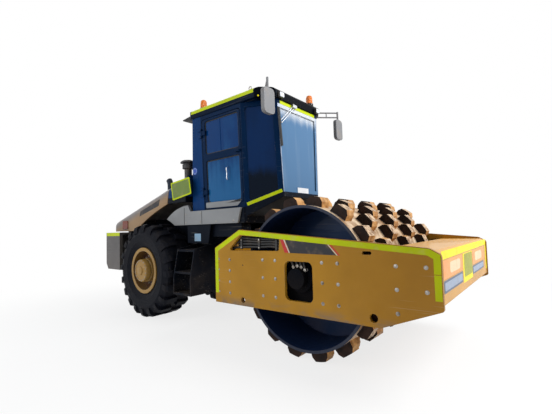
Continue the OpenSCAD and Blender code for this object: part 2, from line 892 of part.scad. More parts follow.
// side outlines of the hood and of the fixed cowl ahead of it
arch_start = axle_x - sqrt(pow(tyre_r + arch_gap, 2) - pow(hood_low + deck_up, 2));
hood_side = concat([[hood_back, hood_low], [arch_start, hood_low]],
    bend([arch_start + 39, hood_low + 15], [axle_x - 270, tyre_r - 480], [hood_split - 67, 472], 12),
    [[hood_split - hood_gap, height(ridge, hood_split - hood_gap)], [hood_turn, height(ridge, hood_turn)]],
    bend([hood_turn - 20, height(ridge, hood_turn - 20)], ridge[0], [hood_back, tail_h], 6));
cowl_side = [ridge[1], [hood_split - 67 + hood_gap, 472], [cowl_front, 472], cowl_ridge[1]];

// slots of the cooling grille in the rear wall of the hood
module grille() {
    slot = [hood_t + 2 * past, 300, 14];
    for (column = [-1.5:1.5], row = [0:3])
        translate([hood_back - past, column * 340 - slot.y / 2, hood_low + 21 + row * 26]) cube(slot);
}

module hood() {
    back = hood_back + hood_t;
    low = tail_h - 20;
    room = concat([[back, -100], [back, low]],
        bend([back, low], [back, low + 80], [hood_turn + 10, low + 150], 4),
        [[-1000, 830], [-1000, -100]]);
    color([0.62, 0.43, 0.13]) on_deck() {
        difference() {
            intersection() {
                along_y(-hood_y, hood_y) polygon(hood_side);
                shoulders(ridge, hood_y, hood_round);
            }
            intersection() {
                along_y(hood_t - hood_y, hood_y - hood_t) polygon(room);
                shoulders(lower(ridge, hood_t), hood_y - hood_t, hood_round - hood_t);
            }
            grille();
        }
        both() box([hinge_x - 70, 420, hinge_z - 78], [hinge_x - 15, 480, hinge_z - 8]);
        both() difference() {
            union() {
                bar_y(ear_r, hinge_x, hinge_z, 420, 480);
                box([hinge_x - 70, 420, hinge_z - ear_r], [hinge_x, 480, hinge_z]);
            }
            bar_y(ear_pin + run_gap, hinge_x, hinge_z, 420 - past, 480 + past);
        }
    }
}

module cowl() {
    room = [[-1300, 100], [cowl_front - 50, 100], [cowl_front - 50, 1000], [-1300, 1000]];
    color([0.05, 0.06, 0.09]) on_deck() {
        difference() {
            intersection() {
                along_y(-hood_y, hood_y) polygon(cowl_side);
                shoulders(cowl_ridge, hood_y, hood_round);
            }
            intersection() {
                along_y(hood_t - hood_y, hood_y - hood_t) polygon(room);
                shoulders(lower(cowl_ridge, hood_t), hood_y - hood_t, hood_round - hood_t);
            }
        }
        box([cowl_front - 50, -600, 0], [cowl_front, 600, 472]);
        both() {
            for (y = [380, 485]) {
                bar_y(ear_r, hinge_x, hinge_z, y, y + 35);
                box([hinge_x, y, hinge_z - 58], [hinge_x + 60, y + 35, hinge_z]);
            }
            bar_y(ear_pin, hinge_x, hinge_z, 380, 520);
        }
    }
}

// mushroom cap on a stack
module air_cleaner() {
    cap = concat([[0, 0], [60, 0], [60, 190], [92, 200], [92, 262], [80, 270], [80, 286], [124, 292]],
        bend([124, 306], [100, 340], [30, 345], 5), [[0, 345]]);
    color([0.04, 0.04, 0.05]) on_deck() difference() {
        translate([-900, -600, 830]) rotate_extrude($fn = 48) polygon(cap);
        along_y(-hood_y, hood_y) polygon(cowl_side);
    }
}

// open pipe that leans to the rear
module exhaust() {
    place = [-1400, -600];
    top = 800;
    turn = 150;
    color([0.20, 0.20, 0.21]) on_deck() difference() {
        union() {
            translate([place.x, place.y, 640]) cylinder(r = 50, h = top - 640, $fn = 48);
            translate([place.x - turn, place.y, top]) rotate([90, 0, 0]) rotate_extrude(angle = 42, $fn = 96)
                translate([turn, 0]) circle(r = 50, $fn = 48);
        }
        translate([place.x - turn, place.y, top]) rotate([90, 0, 0]) rotate_extrude(angle = 60, $fn = 96)
            translate([turn, 0]) circle(r = 42, $fn = 48);
        along_y(-hood_y, hood_y) polygon(hood_side);
    }
}

module tail_lamps() {
    color([0.45, 0.05, 0.03]) on_deck() both()
        along_y(hood_y, hood_y + 14) translate([-2605, 160]) polygon(plate(190, 160, 25));
}

// Rear wheels

// wheel turned so that its outer side faces left
module wheel_place(s) {
    translate([axle_x, s * tyre_y, axle_z]) rotate([-90 * s, 0, 0]) children();
}

module rim(s) {
    bore = spindle_r + run_gap;
    bead = rim_half - flange_t;
    color([0.62, 0.43, 0.13]) wheel_place(s) rotate_extrude($fn = 96)
        polygon([[bore, -200], [150, -200], [150, 60], [well_r, 60], [well_r, -rim_half], [rim_r, -rim_half],
            [rim_r, -bead], [seat_r - skin, -bead], [seat_r - skin, bead], [rim_r, bead], [rim_r, rim_half],
            [well_r, rim_half], [well_r, 95], [190, 95], [190, 185], [165, 205], [0, 205], [0, 56],
            [bore, 56]]);
}

// block lug on one half of the tread, run down over the shoulder
module lug() {
    w = tyre_w / 2 - 8;
    heel = 24;
    toe = w - 80;
    slant = 8;
    turn_z = (heel + toe) / 2;
    translate([0, 0, turn_z]) rotate([slant, 0, 0]) translate([0, 0, -turn_z]) along_y(-lug_t / 2, lug_t / 2)
        polygon([[tyre_r - lug_h - 25, heel], [tyre_r, heel], [tyre_r, toe], [tyre_r - 18, w - 32],
            [tyre_r - 62, w - 8], [tyre_r - 135, w - 1], [tyre_r - 150, w - 30], [tyre_r - 70, w - 90]]);
}

module tyre(s) {
    w = tyre_w / 2 - 6;
    foot = rim_r + 6;
    bead = rim_half - flange_t - 1;
    crown = tyre_r - lug_h;
    bulge = [for (t = [0, 0.3, 0.65, 1])
        let (out = (w - bead) * sin(min(180 * t, 90)), drop = 180 * pow(max(t - 0.5, 0), 2))
        [foot + (crown - 15 - foot) * t, bead + out - drop]];
    wall = concat([[seat_r, bead]], bulge, [[crown, w - 85]]);
    back = [for (i = [len(wall) - 1:-1:0]) [wall[i].x, -wall[i].y]];
    color([0.02, 0.02, 0.025]) wheel_place(s) {
        rotate_extrude($fn = 48) polygon(concat(wall, back));
        for (half = [0, 1], i = [0:lug_count - 1])
            rotate([0, 0, (i + half / 2) * 360 / lug_count]) mirror([0, 0, half]) lug();
    }
}

module rim_left() {
    rim(1);
}

module rim_right() {
    rim(-1);
}

module tyre_left() {
    tyre(1);
}

module tyre_right() {
    tyre(-1);
}

side_plates();
front_beam();
rear_beam();
drum_supports();
drum_motor();
drum();
drum_core();
hitch();
cylinder_right();
cylinder_left();
rod_right();
rod_left();
rear_frame();
rear_axle();
engine();
counterweight();
cowl();
steps();
cab_floor();
cab_skirts();
cab_rear();
cab_sides();
cab_front();
cab_roof();
windscreen();
quarter_glass();
rear_glass();
seat();
console();
beacons();
work_lamps();
wipers();
mirrors();
air_cleaner();
hood();
exhaust();
tail_lamps();
door_right();
door_left();
door_glass_right();
door_glass_left();
rim_right();
rim_left();
tyre_right();
tyre_left();
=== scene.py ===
"""Looks of a single-drum padfoot road roller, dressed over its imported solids.

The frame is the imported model: x runs forward, y to the left and z up, in metres.
"""

import logging
import math
from collections.abc import Sequence
from dataclasses import dataclass
from enum import Enum
from typing import Any

import bmesh
import bpy
import numpy as np
from mathutils import Matrix


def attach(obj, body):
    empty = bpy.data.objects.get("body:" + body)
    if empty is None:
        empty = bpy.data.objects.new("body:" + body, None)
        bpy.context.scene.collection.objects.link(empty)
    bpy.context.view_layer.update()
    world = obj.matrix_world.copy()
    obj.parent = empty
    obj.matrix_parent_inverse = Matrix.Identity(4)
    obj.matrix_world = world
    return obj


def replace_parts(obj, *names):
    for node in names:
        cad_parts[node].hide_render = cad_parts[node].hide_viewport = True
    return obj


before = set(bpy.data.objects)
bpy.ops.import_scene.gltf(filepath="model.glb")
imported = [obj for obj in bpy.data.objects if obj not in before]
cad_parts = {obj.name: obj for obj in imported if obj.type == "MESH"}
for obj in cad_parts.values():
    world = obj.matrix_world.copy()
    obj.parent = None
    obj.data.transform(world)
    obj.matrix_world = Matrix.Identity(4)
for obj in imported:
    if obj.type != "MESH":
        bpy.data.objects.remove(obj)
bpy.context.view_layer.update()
LOG = logging.getLogger("roller")

Colour = tuple[float, float, float, float]
Triple = tuple[float, float, float]
Flat = tuple[float, float]
Outline = tuple[Flat, ...]
Socket = bpy.types.NodeSocket
Node = bpy.types.Node
Tree = bpy.types.NodeTree

FILM = 0.0012  # thickness of a tape or film
BEVEL_SAMPLES = 4
WHITE: Colour = (1.0, 1.0, 1.0, 1.0)


def linear(red: int, green: int, blue: int) -> Colour:
    """An 8-bit sRGB colour in linear light, by the sRGB curve, with full alpha."""
    share = np.array([red, green, blue]) / 255.0
    light = np.where(share <= 0.04045, share / 12.92, ((share + 0.055) / 1.055) ** 2.4)
    return (*light.tolist(), 1.0)


class Side(Enum):
    """The machine's two sides, of which the right one is drawn."""

    RIGHT = "right"
    LEFT = "left"


# Surfaces


@dataclass(frozen=True)
class Surface:
    """A mesh held as arrays: points (n, 3) in metres and quads (m, 4) of point numbers."""

    points: np.ndarray
    quads: np.ndarray

    def mirrored(self) -> "Surface":
        """The same surface on the other side of the machine, with y negated."""
        return Surface(self.points * (1, -1, 1), self.quads)

    def sunk(self, depth: float) -> "Surface":
        """The surface moved into its plane by a depth."""
        return Surface(self.points - (0, 0, depth), self.quads)

    def on(self, side: Side) -> "Surface":
        """The surface itself for the right side, and its mirror image for the left one."""
        return self if side is Side.RIGHT else self.mirrored()

    def on_both_sides(self) -> "Surface":
        """The surface and its mirror image in one mesh."""
        return joined([self, self.mirrored()])


@dataclass(frozen=True)
class Plane:
    """A flat working plane: local x runs right, local y up and local z out of the face."""

    origin: Triple
    right: Triple
    up: Triple

    def lift(self, local: np.ndarray) -> np.ndarray:
        """Carries local points into the frame: origin + x right + y up + z out.

        Args:
            local: points (..., 3) in the plane's own axes.

        Returns:
            The points in the machine's frame.
        """
        right = np.array(self.right) / np.linalg.norm(self.right)
        out = np.cross(right, self.up)
        out /= np.linalg.norm(out)
        return np.array(self.origin) + local @ np.array([right, np.cross(out, right), out])

    def place(self, surface: Surface) -> Surface:
        """A surface drawn in the plane's axes, carried into the frame."""
        return Surface(self.lift(surface.points), surface.quads)


def right_face(distance: float, x: float = 0.0, z: float = 0.0) -> Plane:
    """A plane that looks right at a distance from the middle, drawn in x and z from a place there."""
    return Plane((x, -distance, z), (1, 0, 0), (0, 0, 1))


def front_face(x: float) -> Plane:
    """A plane that looks forward, drawn in y and z."""
    return Plane((x, 0, 0), (0, 1, 0), (0, 0, 1))


def rear_face(x: float) -> Plane:
    """A plane that looks back, drawn in -y and z."""
    return Plane((x, 0, 0), (0, -1, 0), (0, 0, 1))


def joined(parts: Sequence[Surface]) -> Surface:
    """Several surfaces in one mesh, each one's point numbers raised by those before it.

    Args:
        parts: the surfaces to join.

    Returns:
        One surface.
    """
    starts = np.cumsum([0] + [len(p.points) for p in parts[:-1]])
    return Surface(
        np.concatenate([p.points for p in parts]),
        np.concatenate([p.quads + s for p, s in zip(parts, starts)]),
    )


def woven(grid: np.ndarray, wrap_rows: bool = False, wrap_cols: bool = False) -> Surface:
    """Quads over a grid of points: each cell joins a point to the next one in both directions.

    Args:
        grid: points (rows, cols, 3).
        wrap_rows: join the last row to the first.
        wrap_cols: join the last column to the first.

    Returns:
        The surface of rows times cols points.
    """
    rows, cols = grid.shape[:2]
    i, j = np.meshgrid(
        np.arange(rows if wrap_rows else rows - 1),
        np.arange(cols if wrap_cols else cols - 1),
        indexing="ij",
    )
    below, beside = (i + 1) % rows, (j + 1) % cols
    quads = np.stack([i * cols + j, below * cols + j, below * cols + beside, i * cols + beside], -1)
    return Surface(grid.reshape(-1, 3), quads.reshape(-1, 4))


def turned(profile: Sequence[Flat], sides: int = 32) -> Surface:
    """A profile turned about local z: x = r cos a, y = r sin a, z = h.

    Args:
        profile: pairs of radius and height, from one pole to the other.
        sides: number of steps round the axis.

    Returns:
        The turned surface.
    """
    radius, height = np.array(profile, float).T[:, :, None]
    angle = np.linspace(0, 2 * np.pi, sides, endpoint=False)[None]
    grid = np.stack([radius * np.cos(angle), radius * np.sin(angle), height + 0 * angle], -1)
    return woven(grid, wrap_cols=True)


def carried(path: np.ndarray, section: np.ndarray, up: Triple, loop: bool = False) -> Surface:
    """A closed section carried along a path, each ring square to the path's tangent.

    A ring is path + side * section x + rise * section y, where side is tangent x up. Open ends
    close on the path's own end points.

    Args:
        path: points (n, 3) of the centre line.
        section: pairs (m, 2) across and above the path.
        up: direction that the section's second axis follows.
        loop: the path closes on itself.

    Returns:
        The swept surface.
    """
    if loop:
        tangent = np.roll(path, -1, 0) - np.roll(path, 1, 0)
    else:
        tangent = np.gradient(path, axis=0)
    side = np.cross(tangent, up)
    side /= np.linalg.norm(side, axis=1, keepdims=True)
    rise = np.cross(side, tangent)
    rise /= np.linalg.norm(rise, axis=1, keepdims=True)
    rings = path[:, None] + section[None, :, :1] * side[:, None] + section[None, :, 1:] * rise[:, None]
    if not loop:
        ends = np.repeat(path[[0, -1]][:, None], len(section), axis=1)
        rings = np.concatenate([ends[:1], rings, ends[1:]])
    return woven(rings, wrap_rows=loop, wrap_cols=True)


def ring(radius: float, sides: int = 10) -> np.ndarray:
    """A round section of the given radius."""
    angle = np.linspace(0, 2 * np.pi, sides, endpoint=False)
    return radius * np.stack([np.cos(angle), np.sin(angle)], -1)


def tube(points: Sequence[Triple], radius: float, up: Triple = (0, 0, 1), steps: int = 40) -> Surface:
    """A round tube on a smooth line through the points.

    The line is a cubic Hermite curve over the length along the points, and each point's slope comes
    from its neighbours.

    Args:
        points: places that the line passes through.
        radius: radius of the tube.
        up: direction that isn't along the line anywhere.
        steps: rings along the line.

    Returns:
        The tube with closed ends.
    """
    places = np.array(points, float)
    length = np.concatenate([[0], np.cumsum(np.linalg.norm(np.diff(places, axis=0), axis=1))])
    slope = np.gradient(places, length, axis=0)
    at = np.linspace(0, length[-1], steps)
    k = np.clip(np.searchsorted(length, at, side="right") - 1, 0, len(places) - 2)
    span = (length[k + 1] - length[k])[:, None]
    t = (at - length[k])[:, None] / span
    line = (1 + 2 * t) * (1 - t) ** 2 * places[k] + t * (1 - t) ** 2 * span * slope[k]
    line += t**2 * (3 - 2 * t) * places[k + 1] + t**2 * (t - 1) * span * slope[k + 1]
    return carried(line, ring(radius), up)


def mitres(outline: np.ndarray, closed: bool) -> np.ndarray:
    """Inward corner vectors of an outline: (n1 + n2) / (1 + n1 . n2) for its edges' left normals.

    Args:
        outline: points (n, 2), with the inside on the left.
        closed: the last point joins the first.

    Returns:
        Vectors (n, 2) that move each corner inwards by one unit.
    """
    edge = np.roll(outline, -1, 0) - outline
    normal = np.stack([-edge[:, 1], edge[:, 0]], -1) / np.linalg.norm(edge, axis=1, keepdims=True)
    before = np.roll(normal, 1, 0)
    if not closed:
        before[0], normal[-1] = normal[0], normal[-2]
    return (before + normal) / (1 + np.sum(before * normal, axis=1, keepdims=True))


def plate(outline: np.ndarray, thickness: float, bevel: float = 0.0006, dome: float = 0.0) -> Surface:
    """A thin plate: its outline carried up a bevelled edge, then shrunk to the middle.

    Past the edge a ring of scale s stands at thickness + dome (1 - s^2).

    Args:
        outline: closed outline (n, 2), anticlockwise.
        thickness: height of the edge.
        bevel: width of the bevel.
        dome: rise of the middle above the edge.

    Returns:
        The plate on the plane z = 0.
    """
    middle = outline.mean(0)
    inner = outline + bevel * mitres(outline, True)
    shrink = (0.8, 0.6, 0.4, 0.2, 0.0) if dome else (0.0,)
    rows = [(middle + 0 * outline, 0.0), (outline, 0.0), (outline, thickness - bevel), (inner, thickness)]
    rows += [(middle + s * (inner - middle), thickness + dome * (1 - s * s)) for s in shrink]
    grid = np.stack([np.column_stack([flat, np.full(len(flat), h)]) for flat, h in rows])
    return woven(grid, wrap_cols=True)


def ribbon(path: Sequence[Flat], width: float, thickness: float, closed: bool = False) -> Surface:
    """A flat tape laid on the left of a path, a rectangle carried along it with mitred corners.

    Args:
        path: corners (n, 2) of the tape's outer edge.
        width: width of the tape.
        thickness: height above the plane.
        closed: the tape runs round and closes.

    Returns:
        The tape on the plane z = 0.
    """
    outer = np.array(path, float)
    step = mitres(outer, closed)
    flat = outer[:, None] + step[:, None] * np.array([0, width, width, 0])[None, :, None]
    height = np.broadcast_to(np.array([0, 0, thickness, thickness])[None, :, None], (*flat.shape[:2], 1))
    rows = np.concatenate([flat, height], -1)
    if not closed:
        ends = np.repeat(rows[[0, -1]].mean(1, keepdims=True), 4, axis=1)
        rows = np.concatenate([ends[:1], rows, ends[1:]])
    return woven(rows, wrap_rows=closed, wrap_cols=True)


def rounded(width: float, height: float, radius: float, steps: int = 6) -> np.ndarray:
    """Outline of a rectangle with round corners, anticlockwise about the origin.

    Args:
        width: size along x.
        height: size along y.
        radius: radius of the corners.
        steps: points on each corner.

    Returns:
        Points (4 steps, 2).
    """
    angle = (np.linspace(0, 1, steps) + np.arange(4)[:, None]) * np.pi / 2
    arc = radius * np.stack([np.cos(angle), np.sin(angle)], -1)
    corner = np.array([[1, 1], [-1, 1], [-1, -1], [1, -1]]) * (width / 2 - radius, height / 2 - radius)
    return (corner[:, None] + arc).reshape(-1, 2)


def softened(corners: Sequence[Flat], radius: float, steps: int = 5) -> np.ndarray:
    """An outline with each corner replaced by a curve a(1-t)^2 + 2ct(1-t) + bt^2.

    Args:
        corners: corners, anticlockwise.
        radius: length taken off each edge at a corner.
        steps: points on each corner.

    Returns:
        Points (corners times steps, 2).
    """
    c = np.array(corners, float)
    ahead, behind = np.roll(c, -1, 0) - c, np.roll(c, 1, 0) - c
    a = c + radius * behind / np.linalg.norm(behind, axis=1, keepdims=True)
    b = c + radius * ahead / np.linalg.norm(ahead, axis=1, keepdims=True)
    t = np.linspace(0, 1, steps)[None, :, None]
    return (a[:, None] * (1 - t) ** 2 + 2 * c[:, None] * t * (1 - t) + b[:, None] * t**2).reshape(-1, 2)


def bolt_head(radius: float, height: float) -> Surface:
    """A hexagon head on a washer: its radius is r cos 30 / cos(a mod 60 - 30) on the head's rows.

    Args:
        radius: radius over the hexagon's corners.
        height: height of head and washer.

    Returns:
        The head on the plane z = 0.
    """
    angle = np.linspace(0, 2 * np.pi, 12, endpoint=False)
    hexagon = np.cos(np.pi / 6) / np.cos(angle % (np.pi / 3) - np.pi / 6)
    rows = ((0, 0, 0), (1.35, 0, 0), (1.35, 0.25, 0), (1, 0.3, 1), (1, 0.85, 1), (0.8, 1, 1), (0, 1, 1))
    reach = np.array([r * (hexagon if six else np.ones(12)) for r, _, six in rows]) * radius
    level = np.array([[h] for _, h, _ in rows]) * height
    grid = np.stack([reach * np.cos(angle), reach * np.sin(angle), level + 0 * reach], -1)
    return woven(grid, wrap_cols=True)


def scattered(unit: Surface, places: np.ndarray) -> Surface:
    """Copies of a small surface at many local places, joined in one mesh.

    Args:
        unit: the surface to repeat.
        places: shifts (n, 2) in the plane, or (n, 3).

    Returns:
        One surface with n copies.
    """
    shift = np.zeros((len(places), 3))
    shift[:, : places.shape[1]] = places
    points = unit.points[None] + shift[:, None]
    quads = unit.quads[None] + (np.arange(len(places)) * len(unit.points))[:, None, None]
    return Surface(points.reshape(-1, 3), quads.reshape(-1, 4))


def crossed(first: Sequence[float], second: Sequence[float]) -> np.ndarray:
    """Places (n, 2) at each pair of two lists of values."""
    return np.array([(a, b) for a in first for b in second])


def round_places(count: int, radius: float) -> np.ndarray:
    """Places (count, 2) evenly round a circle."""
    angle = (np.arange(count) + 0.5) * 2 * np.pi / count
    return radius * np.stack([np.cos(angle), np.sin(angle)], -1)


def cushion_form(half: Triple, crown: float, squareness: float) -> Surface:
    """A crowned pad: a superellipsoid x = a c(v) c(u), y = b c(v) s(u), z = d s(v), raised in the middle.

    c and s are the cosine and sine to the power of squareness with their sign kept, and the top
    rises by crown (1 - (x/a)^2)(1 - (y/b)^2).

    Args:
        half: half sizes a, b and d.
        crown: rise of the middle of the top.
        squareness: power of the sines, small for a boxy pad.

    Returns:
        The closed pad about the origin.
    """
    u = np.linspace(0, 2 * np.pi, 96, endpoint=False)[None]
    v = np.linspace(-np.pi / 2, np.pi / 2, 41)[:, None]

    def power(wave: np.ndarray) -> np.ndarray:
        """A wave to the power of squareness, with its sign kept."""
        return np.sign(wave) * np.abs(np.where(np.abs(wave) < 1e-9, 0, wave)) ** squareness

    x, y = power(np.cos(v)) * power(np.cos(u)), power(np.cos(v)) * power(np.sin(u))
    z = power(np.sin(v)) + 0 * u
    lift = np.where(z > 0, crown * (1 - x**2) * (1 - y**2), 0)
    grid = np.stack([half[0] * x, half[1] * y, half[2] * z + lift], -1)
    return woven(grid, wrap_cols=True)


# Shader writing


class Graph:
    """A short way of writing one shader node tree."""

    def __init__(self, tree: Tree) -> None:
        """Writes into the given tree, a material's, the world's or a group's."""
        self.tree = tree
        self.shader = tree.nodes.get("Principled BSDF")

    def node(self, kind: str, inputs: dict | None = None, **settings: Any) -> Node:
        """Adds a node and feeds it.

        Args:
            kind: Blender's name for the node after ShaderNode.
            inputs: value or linked socket for each named or numbered input.
            settings: the node's own options.

        Returns:
            The new node.
        """
        made = self.tree.nodes.new("ShaderNode" + kind)
        for name, value in settings.items():
            setattr(made, name, value)
        for key, value in (inputs or {}).items():
            self.feed(made.inputs[key], value)
        return made

    def feed(self, socket: Socket, value: Any) -> None:
        """Links a socket to another one, or sets its value."""
        if isinstance(value, Socket):
            self.tree.links.new(value, socket)
        else:
            socket.default_value = value

    def give(self, name: str, value: Any) -> None:
        """Feeds a named input of the material's Principled shader."""
        self.feed(self.shader.inputs[name], value)

    def where(self) -> Socket:
        """The place on the machine, as Object coordinates."""
        return self.node("TexCoord").outputs["Object"]

    def axes(self) -> tuple[Socket, ...]:
        """The x, y and z of the place on the machine."""
        return self.split(self.where())

    def split(self, vector: Any) -> tuple[Socket, ...]:
        """The x, y and z of a vector."""
        return tuple(self.node("SeparateXYZ", {0: vector}).outputs)

    def away(self, axle: Flat) -> Socket:
        """The vector to the place from an axle along y, which stands at an x and a z."""
        x, _, z = self.axes()
        gap = {0: self.math("SUBTRACT", x, axle[0]), 2: self.math("SUBTRACT", z, axle[1])}
        return self.node("CombineXYZ", gap).outputs[0]

    def length(self, vector: Any) -> Socket:
        """The length of a vector."""
        return self.node("VectorMath", {0: vector}, operation="LENGTH").outputs["Value"]

    def dot(self, a: Any, b: Any) -> Socket:
        """The dot product of two vectors."""
        return self.node("VectorMath", {0: a, 1: b}, operation="DOT_PRODUCT").outputs["Value"]

    def facing(self) -> Socket:
        """The surface's normal in the scene, as the Bevel node gives its own."""
        return self.node("NewGeometry").outputs["Normal"]

    def outward(self) -> Socket:
        """The surface's normal in the piece's own axes, so that a finish turns with its piece."""
        return self.node("TexCoord").outputs["Normal"]

    def bevel(self, radius: float) -> Socket:
        """The surface's normal in the scene, with edges rounded by a radius."""
        return self.node("Bevel", {"Radius": radius}, samples=BEVEL_SAMPLES).outputs[0]

    def noise(self, scale: Any, detail: float = 3.0, stretch: Triple = (1, 1, 1)) -> Socket:
        """Noise of a scale, drawn out by a stretch of the place.

        Args:
            scale: number of lumps in a metre.
            detail: octaves of finer noise.
            stretch: factor on each axis.

        Returns:
            The noise's value.
        """
        place = self.node("Mapping", {"Vector": self.where(), "Scale": stretch}).outputs[0]
        return self.node("TexNoise", {"Vector": place, "Scale": scale, "Detail": detail}).outputs[0]

    def math(self, operation: str, a: Any, b: Any = 0.0) -> Socket:
        """The outcome of a Math node."""
        return self.node("Math", {0: a, 1: b}, operation=operation).outputs[0]

    def product(self, a: Any, b: Any) -> Socket:
        """Two values multiplied."""
        return self.math("MULTIPLY", a, b)

    def wave(self, value: Any, pitch: float) -> Socket:
        """A sine of a value that repeats after a pitch."""
        return self.math("SINE", self.product(value, 2 * math.pi / pitch))

    def total(self, *terms: tuple[Any, float]) -> Socket:
        """A weighted sum of sockets."""
        found = self.product(*terms[0])
        for value, weight in terms[1:]:
            found = self.node("Math", {0: value, 1: weight, 2: found}, operation="MULTIPLY_ADD").outputs[0]
        return found

    def ramp(self, value: Any, low: Any, high: Any, start: float = 0.0, end: float = 1.0) -> Socket:
        """A smooth step of a value from start at low to end at high."""
        inputs = {"Value": value, "From Min": low, "From Max": high, "To Min": start, "To Max": end}
        return self.node("MapRange", inputs, interpolation_type="SMOOTHSTEP").outputs[0]

    def blend(self, share: Any, a: Any, b: Any, mode: str = "MIX") -> Socket:
        """Colour a changed into colour b by a share."""
        return self.node("Mix", {0: share, 6: a, 7: b}, data_type="RGBA", blend_type=mode).outputs[2]

    def times(self, colour: Any, factor: Colour) -> Socket:
        """A colour multiplied by a factor."""
        return self.blend(1.0, colour, factor, "MULTIPLY")

    def bump(self, height: Any, distance: float, normal: Any = None) -> Socket:
        """A normal bent by a height, in metres at a height of one."""
        inputs = {"Height": height, "Distance": distance}
        if normal is not None:
            inputs["Normal"] = normal
        return self.node("Bump", inputs).outputs[0]

    def grain(self, scale: float) -> Socket:
        """The height of a fine grain of a scale."""
        return self.group(Effect.GRAIN.tree(), {"Scale": scale}).outputs[0]

    def group(self, tree: Tree, inputs: dict) -> Node:
        """A shared effect placed with its own values."""
        made = self.tree.nodes.new("ShaderNodeGroup")
        made.node_tree = tree
        for key, value in inputs.items():
            self.feed(made.inputs[key], value)
        return made


class Effect(Enum):
    """Shared effects, each one shader node group that is built once."""

    WEATHER = "weather"
    GRAIN = "grain"
    SCRATCHES = "scratches"

    def tree(self) -> Tree:
        """The effect's node group, built when first asked for."""
        found = bpy.data.node_groups.get(self.value)
        if found is None:
            found = bpy.data.node_groups.new(self.value, "ShaderNodeTree")
            writers = {
                Effect.WEATHER: write_weather,
                Effect.GRAIN: write_grain,
                Effect.SCRATCHES: write_scratches,
            }
            writers[self](found)
        return found


def sockets(tree: Tree, inputs: dict[str, Any], outputs: dict[str, str]) -> tuple[Any, Any]:
    """Gives a group its named inputs and outputs.

    Args:
        tree: the group.
        inputs: starting value of each input, a colour or a number.
        outputs: socket type of each output after NodeSocket.

    Returns:
        The outputs of the group's input node, and its output node.
    """
    for name, value in inputs.items():
        kind = "NodeSocketColor" if isinstance(value, tuple) else "NodeSocketFloat"
        tree.interface.new_socket(name, in_out="INPUT", socket_type=kind).default_value = value
    for name, kind in outputs.items():
        tree.interface.new_socket(name, in_out="OUTPUT", socket_type="NodeSocket" + kind)
    return tree.nodes.new("NodeGroupInput").outputs, tree.nodes.new("NodeGroupOutput")


def write_weather(tree: Tree) -> None:
    """Paint with faded patches, chips along the edges and dust on top and low down.

    Args:
        tree: the empty group. Chips come where edge and noise pass a level that falls with Chips,
            and dust lies where the normal points up or the place is near the ground.
    """
    given, out = sockets(
        tree,
        {"Paint": WHITE, "Bare": WHITE, "Soil": WHITE, "Chips": 0.3, "Dust": 0.3},
        {"Color": "Color", "Bare Metal": "Float", "Dusted": "Float", "Normal": "Vector"},
    )
    g = Graph(tree)
    soft = g.bevel(0.008)
    turn = g.dot(soft, g.facing())
    edge = g.ramp(g.math("SUBTRACT", 1.0, turn), 0.02, 0.2)
    raw = g.total((edge, 0.5), (g.noise(34, 5), 0.5), (g.noise(5, 3), 0.45))
    level = g.total((given["Chips"], -0.45), (1.0, 1.12))
    chips = g.ramp(raw, level, g.math("ADD", level, 0.06))
    fade = g.ramp(g.noise(1.7, 4), 0.35, 0.7)
    faded = g.blend(fade, given["Paint"], g.times(given["Paint"], (0.84, 0.83, 0.82, 1)))
    up = g.ramp(g.split(g.outward())[2], 0.25, 0.95)
    low = g.ramp(g.axes()[2], 0.1, 1.3, 1.0, 0.0)
    lie = g.product(g.total((up, 0.55), (low, 0.7)), g.ramp(g.noise(4.5, 6), 0.3, 0.75))
    dust = g.node("Math", {0: lie, 1: given["Dust"]}, operation="MULTIPLY", use_clamp=True).outputs[0]
    g.feed(out.inputs["Color"], g.blend(dust, g.blend(chips, faded, given["Bare"]), given["Soil"]))
    g.feed(out.inputs["Bare Metal"], chips)
    g.feed(out.inputs["Dusted"], dust)
    g.feed(out.inputs["Normal"], soft)


def write_grain(tree: Tree) -> None:
    """A fine uneven height, such as orange peel or pebbled plastic.

    Args:
        tree: the empty group. The height is the mean of noise at Scale and at three times it.
    """
    given, out = sockets(tree, {"Scale": 200.0}, {"Height": "Float"})
    g = Graph(tree)
    finer = g.noise(g.product(given["Scale"], 3.0), 1)
    g.feed(out.inputs["Height"], g.total((g.noise(given["Scale"], 2), 0.6), (finer, 0.4)))


def write_scratches(tree: Tree) -> None:
    """Long thin rub marks along the machine.

    Args:
        tree: the empty group. Noise drawn out along x is cut to its peaks, in patches.
    """
    given, out = sockets(tree, {"Amount": 0.5}, {"Mask": "Float"})
    g = Graph(tree)
    lines = g.ramp(g.noise(30, 2, (0.05, 1, 2.2)), 0.6, 0.72)
    patch = g.ramp(g.noise(2.2, 2), 0.45, 0.65)
    mask = g.product(g.product(lines, patch), given["Amount"])
    g.feed(out.inputs["Mask"], mask)


# Finishes


@dataclass(frozen=True)
class Finish:
    """A named surface finish that builds its material once."""

    name: str

    def write(self, g: Graph) -> None:
        """Writes the finish's own nodes into its material."""
        raise NotImplementedError

    def material(self) -> bpy.types.Material:
        """The finish's material, built when first asked for."""
        found = bpy.data.materials.get(self.name)
        if found is None:
            found = bpy.data.materials.new(self.name)
            found.use_nodes = True
            self.write(Graph(found.node_tree))
        return found


SOIL = linear(176, 150, 118)
BARE_STEEL = linear(118, 106, 96)
SKY = linear(176, 206, 255)


